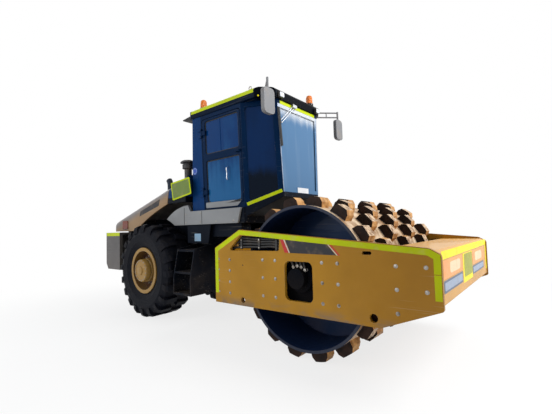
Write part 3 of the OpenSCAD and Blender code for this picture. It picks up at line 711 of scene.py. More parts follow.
@dataclass(frozen=True)
class Paint(Finish):
    """A sprayed coat with fading, chipped edges, rub marks and dust."""

    colour: Colour
    rough: float = 0.42
    coat: float = 0.15
    chips: float = 0.3
    dust: float = 0.35
    marks: float = 0.35
    shine: float = 0.5
    peel: float = 0.00025

    def tone(self, g: Graph) -> Any:
        """The colour of the coat before it weathers, a plain one unless a finish changes it."""
        return self.colour

    def write(self, g: Graph) -> None:
        """Weathered colour, rougher where dusty, with orange peel over rounded edges."""
        weather = g.group(
            Effect.WEATHER.tree(),
            {"Paint": self.tone(g), "Bare": BARE_STEEL, "Soil": SOIL, "Chips": self.chips, "Dust": self.dust},
        ).outputs
        g.give("Specular IOR Level", self.shine)
        g.give("Specular Tint", SKY)
        marks = g.group(Effect.SCRATCHES.tree(), {"Amount": self.marks}).outputs[0]
        pale = g.blend(marks, weather["Color"], g.blend(0.45, self.colour, (0.6, 0.56, 0.5, 1)))
        g.give("Base Color", pale)
        rough = g.total((weather["Dusted"], 0.35), (g.noise(6, 4), 0.16), (1.0, self.rough - 0.08))
        g.give("Roughness", rough)
        g.give("Metallic", g.product(weather["Bare Metal"], 0.6))
        g.give("Coat Weight", g.ramp(weather["Dusted"], 0.0, 0.6, self.coat, 0.0))
        peel = g.grain(120.0)
        g.give("Normal", g.bump(peel, self.peel, weather["Normal"]))


@dataclass(frozen=True)
class PlatePaint(Paint):
    """Frame paint darkened towards the front as painted shade, and rubbed along its lower edge."""

    rub: Colour = linear(128, 112, 96)

    def tone(self, g: Graph) -> Any:
        """Darker with x as painted shade, and mixed with the rubbed colour in patches low down."""
        x, _, z = g.axes()
        # painted shade: the paint darkens towards the front
        dull = g.blend(g.ramp(x, 1.5, 3.0), self.colour, g.times(self.colour, (0.7, 0.66, 0.6, 1)))
        patch = g.ramp(g.noise(9, 5, (0.4, 1, 1)), 0.42, 0.6)
        low = g.product(g.ramp(z, 0.5, 0.62, 0.8, 0.0), patch)
        return g.blend(low, dull, self.rub)


@dataclass(frozen=True)
class RimPaint(Paint):
    """Wheel paint with painted shade, dark brown, in the recess between the hub and the flange."""

    axis: Flat = (-1.6, 0.76)
    hub: float = 0.19
    flange: float = 0.322
    recess_shade: Colour = linear(56, 24, 10)

    def tone(self, g: Graph) -> Any:
        """The painted shade's dark brown between two radii, a little weaker where noise is high."""
        # painted shade in the recess between hub and flange
        radius = g.length(g.away(self.axis))
        outside = g.ramp(radius, self.hub, self.hub + 0.01)
        recess = g.product(outside, g.ramp(radius, self.flange - 0.01, self.flange, 1.0, 0.0))
        share = g.product(recess, g.ramp(g.noise(8, 4), 0.3, 0.8, 1.0, 0.8))
        return g.blend(share, self.colour, self.recess_shade)


@dataclass(frozen=True)
class TwoTone(Paint):
    """Paint that changes to a second colour past an edge on one axis."""

    # the default second colour is the paler blue of a painted sky reflection on the cab's rear part
    second: Colour = linear(14, 56, 108)
    axis: int = 0
    edge: float = -0.42
    width: float = 0.004

    def tone(self, g: Graph) -> Any:
        """The second colour below the edge, the first one above it."""
        share = g.ramp(g.axes()[self.axis], self.edge - self.width, self.edge + self.width)
        return g.blend(share, self.second, self.colour)


@dataclass(frozen=True)
class HoodPaint(Paint):
    """Hood paint with a blue-grey painted sky reflection on top and along the ridge of each side."""

    sky_sheen: Colour = linear(116, 122, 130)
    slope: float = 0.306
    ridge: float = 2.44

    def tone(self, g: Graph) -> Any:
        """Mixed with the painted sky reflection's colour where the normal points up, or z - slope x nears the
        ridge.
        """
        x, _, z = g.axes()
        rise = g.total((x, -self.slope), (z, 1.0))
        near = g.ramp(rise, self.ridge - 0.15, self.ridge, 0.0, 0.7)
        up = g.ramp(g.split(g.outward())[2], 0.15, 0.7, 0.0, 0.5)
        # painted reflection of the sky on the hood's top and ridge
        return g.blend(g.math("MAXIMUM", near, up), self.colour, self.sky_sheen)


@dataclass(frozen=True)
class DrumSteel(Finish):
    """Rolled steel, bright where it meets the ground, with the pads' sideways ends near-black brown as
    painted shade mixed with dirt.
    """

    axis: Flat = (1.6, 0.865)
    shell: float = 0.765
    tread: tuple[Colour, Colour] = (linear(128, 98, 72), linear(206, 180, 150))
    worn_edge: Colour = linear(242, 226, 202)
    hollow: tuple[Colour, Colour] = (linear(150, 118, 88), linear(214, 190, 160))
    slope: tuple[Colour, Colour] = (linear(150, 102, 58), linear(214, 164, 104))
    shaded_pad_end: tuple[Colour, Colour] = (linear(26, 17, 14), linear(50, 33, 26))
    shell_end: Colour = linear(58, 62, 76)
    inside: Colour = linear(22, 38, 70)

    def write(self, g: Graph) -> None:
        """Colour by how far a face looks away from the axle, and by its radius."""
        away = g.away(self.axis)
        radius = g.length(away)
        unit = g.node("VectorMath", {0: away}, operation="NORMALIZE").outputs[0]
        look = g.dot(unit, g.outward())
        speck = g.noise(26, 6)
        soft = g.bevel(0.007)
        worn = g.ramp(g.math("SUBTRACT", 1.0, g.dot(soft, g.facing())), 0.005, 0.06)
        tread = g.blend(worn, g.blend(g.ramp(speck, 0.38, 0.62), *self.tread), self.worn_edge)
        hollow = g.blend(g.ramp(g.noise(7, 5), 0.35, 0.65), *self.hollow)
        outer = g.blend(g.ramp(radius, self.shell + 0.01, self.shell + 0.08), hollow, tread)
        patch = g.ramp(g.noise(12, 6), 0.3, 0.7)
        # painted shade with dirt: near-black brown on the pads' ends that look sideways
        shaded_pad_end = g.blend(patch, *self.shaded_pad_end)
        end = g.blend(g.ramp(radius, self.shell, self.shell + 0.01), self.shell_end, shaded_pad_end)
        sideways = g.math("ABSOLUTE", g.split(g.outward())[1])
        flank = g.blend(g.ramp(sideways, 0.6, 0.8), g.blend(patch, *self.slope), end)
        colour = g.blend(g.ramp(look, 0.62, 0.92), flank, outer)
        within = g.ramp(look, -0.6, -0.2, 1.0, 0.0)
        g.give("Base Color", g.blend(within, colour, self.inside))
        bare = g.product(g.ramp(look, 0.7, 0.95), g.ramp(speck, 0.5, 0.8, 0.0, 0.5))
        g.give("Metallic", bare)
        g.give("Roughness", g.total((speck, 0.3), (1.0, 0.38)))
        g.give("Specular IOR Level", 0.12)
        dents = g.total((g.noise(18, 5), 0.7), (g.noise(140, 2), 0.3))
        g.give("Normal", g.bump(dents, 0.004, soft))


@dataclass(frozen=True)
class Rubber(Finish):
    """Tyre rubber with moulded rings on the side wall and dust on the blocks."""

    axis: Flat = (-1.6, 0.76)
    pitch: float = 0.022
    wall: Flat = (0.43, 0.56)
    tread: Flat = (0.5, 0.76)
    clean: Colour = linear(9, 12, 21)
    dusty: Colour = linear(44, 40, 40)

    def write(self, g: Graph) -> None:
        """Rings are a wave of the distance from the axle below the tread."""
        radius = g.length(g.away(self.axis))
        inner, outer = self.wall
        rise, fall = g.ramp(radius, inner, inner + 0.03), g.ramp(radius, outer - 0.03, outer, 1.0, 0.0)
        rings = g.product(g.wave(radius, self.pitch), g.product(rise, fall))
        dirt = g.product(g.ramp(g.noise(9, 6), 0.42, 0.75), g.ramp(radius, *self.tread, 0.15, 0.5))
        g.give("Base Color", g.blend(dirt, self.clean, self.dusty))
        g.give("Roughness", g.total((dirt, 0.25), (g.noise(60, 3), 0.2), (1.0, 0.5)))
        g.give("Specular IOR Level", 0.1)
        grain = g.grain(90.0)
        soft = g.bevel(0.008)
        g.give("Normal", g.bump(g.total((rings, 0.6), (grain, 0.25)), 0.003, soft))


@dataclass(frozen=True)
class Pane(Finish):
    """Safety glass whose colour, between two colours by height, is a painted reflection of sky and ground,
    with streaks and large patches of painted reflection.
    """

    low: Colour
    high: Colour
    levels: Flat = (1.8, 3.05)
    clear: float = 0.45
    shine: float = 0.12
    reflection_patches: float = 0.14

    def write(self, g: Graph) -> None:
        """A painted reflection: a colour between two by height, broken by upright streaks and large patches.
        """
        streak = g.ramp(g.noise(9, 2, (1, 1, 0.08)), 0.4, 0.7, -0.12, 0.12)
        # painted reflection: large soft lighter and darker patches
        reflection_patches = g.ramp(g.noise(2.1, 3), 0.38, 0.62, -self.reflection_patches, self.reflection_patches)
        share = g.total((g.ramp(g.axes()[2], *self.levels), 1.0), (streak, 1.0), (reflection_patches, 1.0))
        g.give("Base Color", g.blend(g.ramp(share, 0.0, 1.0), self.low, self.high))
        g.give("Roughness", g.ramp(g.noise(5, 5), 0.45, 0.8, 0.03, 0.16))
        g.give("Transmission Weight", self.clear)
        g.give("Specular IOR Level", self.shine)
        g.give("Specular Tint", SKY)


@dataclass(frozen=True)
class Plastic(Finish):
    """Moulded plastic with a pebbled skin and dust."""

    colour: Colour
    rough: float = 0.5
    pebble: float = 0.0006
    scale: float = 420.0
    dust: float = 0.3

    def write(self, g: Graph) -> None:
        """A slightly mottled colour over pebbles."""
        dust = g.ramp(g.noise(7, 5), 0.45, 0.9, 0.0, self.dust)
        g.give("Base Color", g.blend(dust, self.colour, SOIL))
        g.give("Roughness", g.total((g.noise(20, 3), 0.2), (1.0, self.rough - 0.1)))
        pebbles = g.grain(self.scale)
        soft = g.bevel(0.003)
        g.give("Normal", g.bump(pebbles, self.pebble, soft))


@dataclass(frozen=True)
class Lens(Finish):
    """Moulded lamp glass with ribs, and a plain base below a height or behind a face."""

    colour: Colour
    base: Colour
    axis: int
    edge: float
    rib: float = 0.006
    clear: float = 0.04

    def write(self, g: Graph) -> None:
        """Ribs are a wave along y, and the base takes over below the edge on one axis."""
        places = g.axes()
        part = g.ramp(places[self.axis], self.edge - 0.001, self.edge + 0.001)
        tone = g.blend(g.ramp(g.noise(16, 3), 0.3, 0.7), self.colour, g.blend(0.03, self.colour, WHITE))
        g.give("Base Color", g.blend(part, self.base, tone))
        g.give("Roughness", g.total((g.noise(40, 2), 0.14), (1.0, 0.12)))
        ribs = g.product(g.wave(places[1], self.rib), part)
        g.give("Normal", g.bump(ribs, 0.0009))
        g.give("Transmission Weight", self.clear)
        g.give("Specular IOR Level", 0.25)


@dataclass(frozen=True)
class Film(Finish):
    """Stuck-on film: tape, label or stripe, with a cell pattern and rubbed dirt."""

    colour: Colour
    glow: float = 0.0
    dirt: float = 0.35
    shine: float = 0.3
    cells: float = 260.0

    def tone(self, g: Graph) -> Any:
        """The clean film's colour, a little darker in large patches."""
        dull = g.times(self.colour, (0.9, 0.9, 0.9, 1))
        return g.blend(g.ramp(g.noise(3, 3), 0.3, 0.7), self.colour, dull)

    def write(self, g: Graph) -> None:
        """A clean film with dirt in patches and small raised cells."""
        dirt = g.product(g.ramp(g.noise(11, 6), 0.48, 0.85), self.dirt)
        colour = g.blend(dirt, self.tone(g), SOIL)
        g.give("Base Color", colour)
        g.give("Roughness", g.total((dirt, 0.5), (g.noise(30, 2), 0.15), (1.0, 0.28)))
        # painted light: emission that makes the film glow brighter than its colour under the lamps
        if self.glow:
            g.give("Emission Color", colour)
            g.give("Emission Strength", self.glow)
        g.give("Specular IOR Level", self.shine)
        cells = g.node("TexVoronoi", {"Vector": g.where(), "Scale": self.cells}).outputs["Distance"]
        g.give("Normal", g.bump(cells, 0.0003))


@dataclass(frozen=True)
class PlateTape(Film):
    """Tape darkened towards the front as painted shade, like the plate that it is stuck on."""

    def tone(self, g: Graph) -> Any:
        """The film's tone, darker with x as painted shade."""
        clean = super().tone(g)
        # painted shade: the tape darkens towards the front
        dull = g.times(clean, (0.72, 0.68, 0.5, 1))
        return g.blend(g.ramp(g.axes()[0], 1.2, 2.9), clean, dull)


@dataclass(frozen=True)
class Metal(Finish):
    """Bare or plated metal with fine lathe lines and tarnish."""

    colour: Colour
    tarnish: Colour
    rough: float = 0.3

    def write(self, g: Graph) -> None:
        """Metal that goes dull and darker where tarnished."""
        dull = g.ramp(g.noise(22, 6), 0.45, 0.75)
        g.give("Base Color", g.blend(dull, self.colour, self.tarnish))
        g.give("Roughness", g.total((dull, 0.25), (1.0, self.rough)))
        g.give("Metallic", g.ramp(dull, 0.0, 1.0, 1.0, 0.55))
        lines = g.noise(300, 2, (1, 0.05, 0.05))
        soft = g.bevel(0.002)
        g.give("Normal", g.bump(lines, 0.0002, soft))


@dataclass(frozen=True)
class WiperMetal(Finish):
    """Bright wiper arms that end in a black blade."""

    blade_y: float = -0.44
    bright: Colour = linear(214, 216, 220)
    dull: Colour = linear(160, 164, 170)
    blade: Colour = linear(20, 22, 25)

    def write(self, g: Graph) -> None:
        """Metal up to the blade's y, and rubber past it."""
        arm = g.ramp(g.axes()[1], self.blade_y, self.blade_y + 0.004)
        tone = g.blend(g.noise(30, 3), self.bright, self.dull)
        g.give("Base Color", g.blend(arm, self.blade, tone))
        g.give("Metallic", g.product(arm, 0.7))
        g.give("Roughness", g.total((g.noise(60, 3), 0.2), (1.0, 0.3)))
        grain = g.grain(300.0)
        g.give("Normal", g.bump(grain, 0.0003))


@dataclass(frozen=True)
class Fabric(Finish):
    """Woven seat cloth with crossing threads and a worn middle."""

    colour: Colour
    thread: float = 0.004
    faded: Colour = linear(120, 118, 116)
    gap: Colour = linear(12, 12, 14)

    def write(self, g: Graph) -> None:
        """Warp and weft are two waves, along x and z and along y."""
        x, y, z = g.axes()
        weave = g.product(g.wave(g.math("ADD", x, z), self.thread), g.wave(y, self.thread))
        worn = g.ramp(g.noise(6, 5), 0.35, 0.75)
        tone = g.blend(worn, self.colour, g.blend(0.25, self.colour, self.faded))
        g.give("Base Color", g.blend(g.ramp(weave, -1, 1, 0.0, 0.35), tone, self.gap))
        g.give("Roughness", g.total((worn, 0.1), (1.0, 0.78)))
        g.give("Sheen Weight", 0.3)
        g.give("Normal", g.bump(weave, 0.0012))


LIME = Film("lime tape", linear(192, 208, 0), glow=0.1, shine=0.15)
PLATE_LIME = PlateTape("plate tape", linear(192, 208, 0), glow=0.1, shine=0.15)
YELLOW = Film("yellow front tape", linear(240, 222, 0), glow=0.12, shine=0.15)
OLIVE = Film("olive field film", linear(156, 160, 0), dirt=0.4)
DULL_LIME = Film("dull lime film", linear(112, 134, 58), dirt=0.3)
OCHRE = PlatePaint("ochre frame paint", linear(184, 133, 34), chips=0.32, dust=0.07, marks=0.3, shine=0.12)
BEAM_OCHRE = Paint("ochre beam paint", linear(210, 156, 72), chips=0.3, dust=0.1, marks=0.3, shine=0.25)
HOOD_OCHRE = HoodPaint("ochre hood paint", linear(162, 130, 92), rough=0.34, chips=0.2, dust=0.16, shine=0.2)
RIM_OCHRE = RimPaint("ochre rim paint", linear(164, 126, 56), chips=0.42, dust=0.2, shine=0.3)
BLACK = Paint("black frame paint", linear(16, 19, 26), rough=0.55, coat=0.0, chips=0.22, dust=0.12, shine=0.1)
# painted shade: the motors and supports inside the drum are near-black for the shade there
SHADED_MOTOR = Paint(
    "motor paint in painted shade", linear(8, 10, 15), rough=0.6, coat=0.0, chips=0.15, dust=0.06, marks=0.0, shine=0.05
)
# dirt and painted shade: the dark brown inside the lashing holes
SOIL_AND_SHADE = Paint("soiled steel and painted shade", linear(46, 24, 14), rough=0.7, coat=0.0, chips=0.3, dust=0.1, shine=0.07)
CORE = Paint("drum core paint", linear(22, 42, 80), rough=0.5, chips=0.2, dust=0.12)
SKIRT_GREY = Paint("grey skirt paint", linear(146, 146, 144), rough=0.4, chips=0.2, dust=0.4)
WEIGHT_GREY = Paint("dark grey weight paint", linear(92, 86, 79), rough=0.5, chips=0.35, dust=0.22)
# painted reflection: dark cab paint tinted blue for the sky, paler blue behind x -0.42
SKY_TINTED_CAB = TwoTone(
    "cab paint with painted sky reflection", linear(3, 33, 66), rough=0.3, coat=0.02, chips=0.1, dust=0.05, marks=0.1, shine=0.06
)
COWL_NAVY = TwoTone(
    "blue cowl paint", linear(16, 58, 108), rough=0.35, coat=0.02, chips=0.15, dust=0.08, shine=0.08,
    second=linear(9, 12, 18), axis=2, edge=1.93,
)
ROOF_BLACK = TwoTone(
    "black roof paint", linear(3, 4, 8), rough=0.4, coat=0.01, chips=0.12, dust=0.06, shine=0.05,
    second=linear(3, 20, 42), axis=0, edge=0.70, width=0.03,
)
PIPE_BLACK = Paint("heated pipe paint", linear(34, 32, 32), rough=0.6, coat=0.0, chips=0.5, dust=0.2)
STEEL = DrumSteel("drum steel")
RUBBER = Rubber("tyre rubber")
CHROME = Metal("chromed rod", linear(214, 216, 220), linear(150, 140, 128), 0.12)
ZINC = Metal("zinc bolts", linear(156, 152, 146), linear(104, 92, 78), 0.35)
BRASS = Metal("brass fitting", linear(214, 168, 84), linear(140, 102, 52), 0.3)
TRIM = Metal("brushed trim", linear(150, 162, 182), linear(120, 132, 152), 0.4)
SILVER = Metal("mirror silver", linear(222, 226, 232), linear(206, 212, 220), 0.04)
# painted reflection: each pane's two colours by height stand for sky and ground reflected in the glass
SCREEN = Pane("windscreen glass", linear(92, 132, 172), linear(226, 231, 236), (2.80, 3.10), 0.2, reflection_patches=0.02)
DOOR_PANE = Pane("door glass", linear(40, 108, 164), linear(6, 62, 122), (1.75, 2.8), 0.2)
CORNER_PANE = Pane("corner glass", linear(5, 10, 20), linear(8, 42, 88), (2.02, 2.3), 0.15)
REAR_PANE = Pane("rear glass", linear(18, 50, 90), linear(12, 44, 88), (2.4, 3.0), 0.3)
BLACK_PLASTIC = Plastic("black plastic", linear(26, 27, 30))
HOSE = Plastic("hose rubber", linear(20, 21, 24), 0.55, 0.0004, 700.0)
SEAL = Plastic("seal rubber", linear(10, 11, 14), 0.6, 0.0003, 800.0, 0.06)
MIRROR_SHELL = Plastic("mirror shell", linear(118, 119, 122))
BEACON = Lens("beacon lens", linear(226, 116, 4), linear(30, 28, 28), 2, 3.305, clear=0.0)
TAIL = Lens("tail lens", linear(128, 52, 32), linear(60, 34, 26), 2, 1.46)
LAMP_SHELL = Plastic("lamp shell", linear(24, 24, 27))
LAMP_GLASS = Lens("work lamp glass", linear(232, 236, 242), linear(190, 194, 200), 0, 0.955, 0.009)
CLOTH = Fabric("seat cloth", linear(44, 45, 50))
BAND_BLACK = Film("dark band film", linear(38, 38, 44), dirt=0.3)
STRIPE_RED = Film("red stripe film", linear(196, 52, 48), dirt=0.25)
STRIPE_PALE = Film("pale stripe film", linear(222, 214, 206), dirt=0.3)
PANEL_ORANGE = Film("orange panel film", linear(244, 160, 92), glow=0.06, dirt=0.3)
STRIP_GREY = Film("blue-grey strip film", linear(84, 98, 120), dirt=0.3)
STRIP_PALE = Film("pale strip film", linear(150, 164, 186), dirt=0.3)
PATCH = Film("pale patch film", linear(250, 206, 166), glow=0.06, dirt=0.25)
LABEL_PALE = Film("pale label", linear(232, 234, 238), dirt=0.2)
LABEL_BLUE = Film("blue label", linear(52, 86, 186), dirt=0.2)
LABEL_SKY = Film("light blue label", linear(150, 186, 214), dirt=0.25)

NODE_FINISHES: dict[Finish, tuple[str, ...]] = {
    OCHRE: ("side_plates", "rear_beam", "hitch"),
    BEAM_OCHRE: ("front_beam",),
    HOOD_OCHRE: ("hood",),
    RIM_OCHRE: ("rim_right", "rim_left"),
    SHADED_MOTOR: ("drum_supports", "drum_motor"),
    BLACK: ("cylinder_right", "cylinder_left", "rear_frame", "rear_axle", "engine", "steps", "cab_floor"),
    CORE: ("drum_core",),
    CHROME: ("rod_right", "rod_left"),
    SKIRT_GREY: ("cab_skirts",),
    WEIGHT_GREY: ("counterweight",),
    SKY_TINTED_CAB: ("cab_rear", "cab_sides", "cab_front", "door_right", "door_left"),
    COWL_NAVY: ("cowl",),
    ROOF_BLACK: ("cab_roof",),
    PIPE_BLACK: ("exhaust",),
    STEEL: ("drum",),
    RUBBER: ("tyre_right", "tyre_left"),
    SCREEN: ("windscreen",),
    DOOR_PANE: ("door_glass_right", "door_glass_left"),
    CORNER_PANE: ("quarter_glass",),
    REAR_PANE: ("rear_glass",),
    BLACK_PLASTIC: ("console", "air_cleaner"),
    CLOTH: ("seat",),
    BEACON: ("beacons",),
    LAMP_SHELL: ("work_lamps",),
    MIRROR_SHELL: ("mirrors",),
    TAIL: ("tail_lamps",),
    WiperMetal("wiper metal"): ("wipers",),
}


def dress_nodes() -> None:
    """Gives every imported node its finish, in all its material slots."""
    for finish, names in NODE_FINISHES.items():
        for name in names:
            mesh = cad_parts[name].data
            if not mesh.materials:
                mesh.materials.append(finish.material())
            for number in range(len(mesh.materials)):
                mesh.materials[number] = finish.material()
            LOG.info("node %s: %s", name, finish.name)


def add_piece(
    name: str, surface: Surface, finish: Finish, body: str, sharp: float = 40.0
) -> bpy.types.Object:
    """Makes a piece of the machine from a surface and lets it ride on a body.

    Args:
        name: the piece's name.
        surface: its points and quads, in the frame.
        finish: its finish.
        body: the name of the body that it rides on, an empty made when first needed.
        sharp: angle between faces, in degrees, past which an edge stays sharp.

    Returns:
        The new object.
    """
    mesh = bpy.data.meshes.new(name)
    mesh.from_pydata(surface.points, [], surface.quads.tolist())
    work = bmesh.new()
    work.from_mesh(mesh)
    bmesh.ops.remove_doubles(work, verts=work.verts, dist=1e-5)
    bmesh.ops.recalc_face_normals(work, faces=work.faces)
    work.to_mesh(mesh)
    work.free()
    mesh.polygons.foreach_set("use_smooth", np.ones(len(mesh.polygons), bool))
    mesh.set_sharp_from_angle(angle=math.radians(sharp))
    mesh.materials.append(finish.material())
    piece = bpy.data.objects.new(name, mesh)
    bpy.context.scene.collection.objects.link(piece)
    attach(piece, body)
    LOG.info("piece %s: %d faces on %s", name, len(mesh.polygons), body)
    return piece


def add_to_doors(*pieces: tuple[str, Surface, Finish, str]) -> None:
    """Makes pieces of the right door, and then their mirror images on the left one.

    Args:
        pieces: each piece's name before its side, its surface on the right, its finish and a material slot's
            name, which is not used.
    """
    for side in Side:
        for name, surface, finish, slot in pieces:
            add_piece(f"{name}_{side.value}", surface.on(side), finish, f"door_{side.value}_body")


# Sub-assemblies


@dataclass(frozen=True)
class Sheet:
    """Films of one name on the front beam: their spans in y and z, corner radii and number of layers."""

    name: str
    finish: Film
    spans: tuple[tuple[Flat, Flat], ...]
    corners: tuple[float, ...] = (0.012, 0.012)
    layers: int = 1


@dataclass
class DrumFrame:
    """Dress of the welded frame round the drum, drawn in x and z on its right side plate."""

    body: str = "drum_frame"
    face: float = 1.170
    inner: float = 1.134
    front: float = 2.988
    axle: Flat = (1.6, 0.865)
    beam_column: float = 0.640
    beam_rows: tuple[float, ...] = (1.030, 0.900, 0.767, 0.635)
    bolt_columns: tuple[float, ...] = (1.165, 1.342, 1.925, 2.095, 2.644)
    bolt_rows: tuple[float, ...] = (1.046, 0.851, 0.654)
    front_column: float = 2.884
    rear_column: float = 0.452
    rear_rows: tuple[float, ...] = (1.035, 0.905, 0.772, 0.640)
    bolt: Flat = (0.0135, 0.007)
    small_bolt: Flat = (0.008, 0.005)
    tape: float = 0.052
    edge: Outline = (
        (2.994, 0.996), (2.994, 1.147), (2.912, 1.194), (0.810, 1.381), (0.386, 1.164), (0.386, 0.62),
    )
    edge_foot: Outline = ((2.994, 0.79), (2.994, 0.990))
    band: Outline = ((1.550, 1.131), (2.086, 1.121), (1.990, 1.222), (1.488, 1.268))
    red: Outline = ((1.477, 1.133), (1.530, 1.132), (1.462, 1.270), (1.420, 1.274))
    pale: Outline = ((1.533, 1.132), (1.545, 1.131), (1.480, 1.268), (1.466, 1.269))
    thin_pale: Outline = ((2.092, 1.121), (2.102, 1.121), (2.008, 1.220), (1.997, 1.221))
    thin_red: Outline = ((2.110, 1.121), (2.130, 1.120), (2.038, 1.217), (2.017, 1.219))
    sheets: tuple[Sheet, ...] = (
        Sheet(
            "front_tape",
            YELLOW,
            (((-1.12, 1.12), (1.104, 1.172)), ((1.064, 1.118), (0.80, 1.098))),
            (0.004, 0.004),
        ),
        Sheet("front_square", YELLOW, (((-0.315, 0.155), (0.812, 1.092)),)),
        Sheet("front_square_field", OLIVE, (((-0.265, 0.145), (0.862, 1.086)),), (0.03,), 2),
        Sheet(
            "front_panels",
            PANEL_ORANGE,
            (((-1.078, -0.345), (0.944, 1.092)), ((0.186, 0.93), (0.938, 1.090))),
        ),
        Sheet("front_strips", STRIP_GREY, (((-1.08, -0.35), (0.83, 0.932)), ((0.17, 0.90), (0.838, 0.926)))),
        Sheet(
            "front_strip_fills",
            STRIP_PALE,
            (((-1.055, -0.375), (0.848, 0.914)), ((0.195, 0.875), (0.854, 0.910))),
            (0.02, 0.016),
            2,
        ),
        Sheet(
            "front_patches",
            PATCH,
            (((-0.86, -0.45), (0.972, 1.066)), ((0.32, 0.76), (0.966, 1.062))),
            (0.04, 0.04),
            2,
        ),
    )
    rear_hole: Triple = (0.851, 0.572, 0.032)
    front_hole: Triple = (2.432, 0.587, 0.038)
    slot: tuple[Flat, Flat] = ((2.390, 1.150), (0.088, 0.030))
    bush_gap: float = 0.006
    bush_reach: float = 0.042
    rear_reach: float = 0.018
    plug_at: Flat = (0.858, 0.974)
    motor_face: float = 1.079
    port_ring: float = 0.128
    port_turns: tuple[float, ...] = (114.0, 91.0, 68.0, 45.0)
    hose_rows: tuple[Triple, ...] = (
        (1.182, 0.016, 0.61),
        (1.214, 0.014, 0.57),
        (1.243, 0.014, 0.53),
        (1.270, 0.011, 0.49),
    )
    clamp_face: float = 1.117
    clamp_thickness: float = 0.012
    clamp_half: Flat = (0.016, 0.062)
    clamps: Outline = ((0.80, 1.218), (1.08, 1.222), (1.33, 1.205))
    screw_heights: Flat = (1.265, 1.175)

    def build(self) -> None:
        """Builds all pieces of the drum's frame."""
        self.build_bolts()
        self.build_films()
        self.build_front()
        self.build_bushes()
        self.build_ports()
        self.build_hoses()

    def build_bolts(self) -> None:
        """Rows of hexagon heads on both side plates, with a small row near the rear edge."""
        large = np.concatenate(
            [
                crossed((self.beam_column,), self.beam_rows),
                crossed(self.bolt_columns, self.bolt_rows),
                crossed((self.front_column,), self.bolt_rows[:2]),
            ]
        )
        small = crossed((self.rear_column,), self.rear_rows)
        heads = [scattered(bolt_head(*self.bolt), large), scattered(bolt_head(*self.small_bolt), small)]
        bolts = right_face(self.face).place(joined(heads)).on_both_sides()
        add_piece("plate_bolts", bolts, ZINC, self.body)

    def build_films(self) -> None:
        """Bright tape along the plates' edges, and the dark band with its slanted stripes."""
        side = right_face(self.face)
        tapes = joined([ribbon(line, self.tape, FILM) for line in (self.edge, self.edge_foot)])
        add_piece("plate_tape", side.place(tapes).on_both_sides(), PLATE_LIME, self.body)
        for name, finish, outlines in (
            ("plate_band", BAND_BLACK, (self.band,)),
            ("plate_red_stripe", STRIPE_RED, (self.red, self.thin_red)),
            ("plate_pale_stripe", STRIPE_PALE, (self.pale, self.thin_pale)),
        ):
            films = joined([plate(np.array(outline), FILM) for outline in outlines])
            add_piece(name, side.place(films).on_both_sides(), finish, self.body)

    def build_front(self) -> None:
        """Tape and blank panels on the front beam, rounded rectangles between two y and two z values."""
        face = front_face(self.front)
        for sheet in self.sheets:
            films = []
            for (y, z), corner in zip(sheet.spans, sheet.corners):
                outline = rounded(y[1] - y[0], z[1] - z[0], corner) + (sum(y) / 2, sum(z) / 2)
                films.append(plate(outline, FILM * sheet.layers))
            add_piece(sheet.name, face.place(joined(films)), sheet.finish, self.body)

    def collar(self, outline: np.ndarray, depth: float) -> Surface:
        """A flat bar carried round an outline, from the side plate's inner face inwards.

        Args:
            outline: closed outline (n, 2) in x and z.
            depth: how far the bar reaches inwards.

        Returns:
            The closed ring.
        """
        middle = np.full(len(outline), 0.001 + depth / 2 - self.inner)
        path = np.column_stack([outline[:, 0], middle, outline[:, 1]])
        bar = np.array([(-0.005, -1), (0.005, -1), (0.005, 1), (-0.005, 1)]) * (1, depth / 2)
        return carried(path, bar, (0, 1, 0), loop=True)

    def build_bushes(self) -> None:
        """Collars welded behind the lashing holes, two of them closed at the back; their dark brown is dirt
        and painted shade, and the closing plates are dark sheets that stand for shade.
        """
        rear, front = (
            ring(hole[2] + self.bush_gap, 32) + hole[:2] for hole in (self.rear_hole, self.front_hole)
        )
        wide, high = (size + 2 * self.bush_gap for size in self.slot[1])
        slot = rounded(wide, high, 0.020) + self.slot[0]
        bushes = [self.collar(rear, self.rear_reach)]
        bushes += [self.collar(outline, self.bush_reach) for outline in (front, slot)]
        back = right_face(self.inner - self.bush_reach)
        covers = [back.place(plate(outline, 0.006, 0.001)) for outline in (front, slot)]
        add_piece("lashing_bushes", joined(bushes + covers).on_both_sides(), SOIL_AND_SHADE, self.body)

    def ports(self) -> np.ndarray:
        """Places (4, 2) of the hose ends on the motor's flange, from the rear to the front."""
        turn = np.radians(self.port_turns)
        return np.array(self.axle) + self.port_ring * np.stack([np.cos(turn), np.sin(turn)], -1)

    def build_ports(self) -> None:
        """Hose ends on each motor's flange, and a plug in each plate."""
        seat = [(0, 0), (0.020, 0), (0.020, 0.012), (0.014, 0.014)]
        nut = [(0.014, 0.018), (0.019, 0.02), (0.019, 0.044), (0, 0.046)]
        ports = right_face(self.motor_face).place(scattered(turned(seat + nut, 6), self.ports()))
        add_piece("motor_ports", ports.on_both_sides(), ZINC, self.body)
        plug = right_face(self.face).place(plate(ring(0.008, 16) + self.plug_at, 0.002, 0.0008))
        add_piece("plate_plugs", plug.on_both_sides(), SEAL, self.body)

    def hose(self, row: Triple, port: np.ndarray) -> Surface:
        """One hose: up out of the rear beam, level past the slot's clamps and down to the motor.

        Args:
            row: its height in the slot, its radius and the x at which it leaves the beam.
            port: x and z of its end on the motor.

        Returns:
            The hose's tube.
        """
        z, radius, start = row
        line = [
            (start, -1.104, 1.13),
            (start + 0.06, -1.104, (1.15 + z) / 2),
            (start + 0.20, -1.106, z - 0.004),
            (1.08, -1.106, z),
            (1.34, -1.106, z - 0.006),
            (port[0] - 0.055, -1.108, 0.55 * z + 0.45 * port[1]),
            (port[0], -1.108, port[1]),
        ]
        return tube(line, radius, (0, 1, 0), 64)

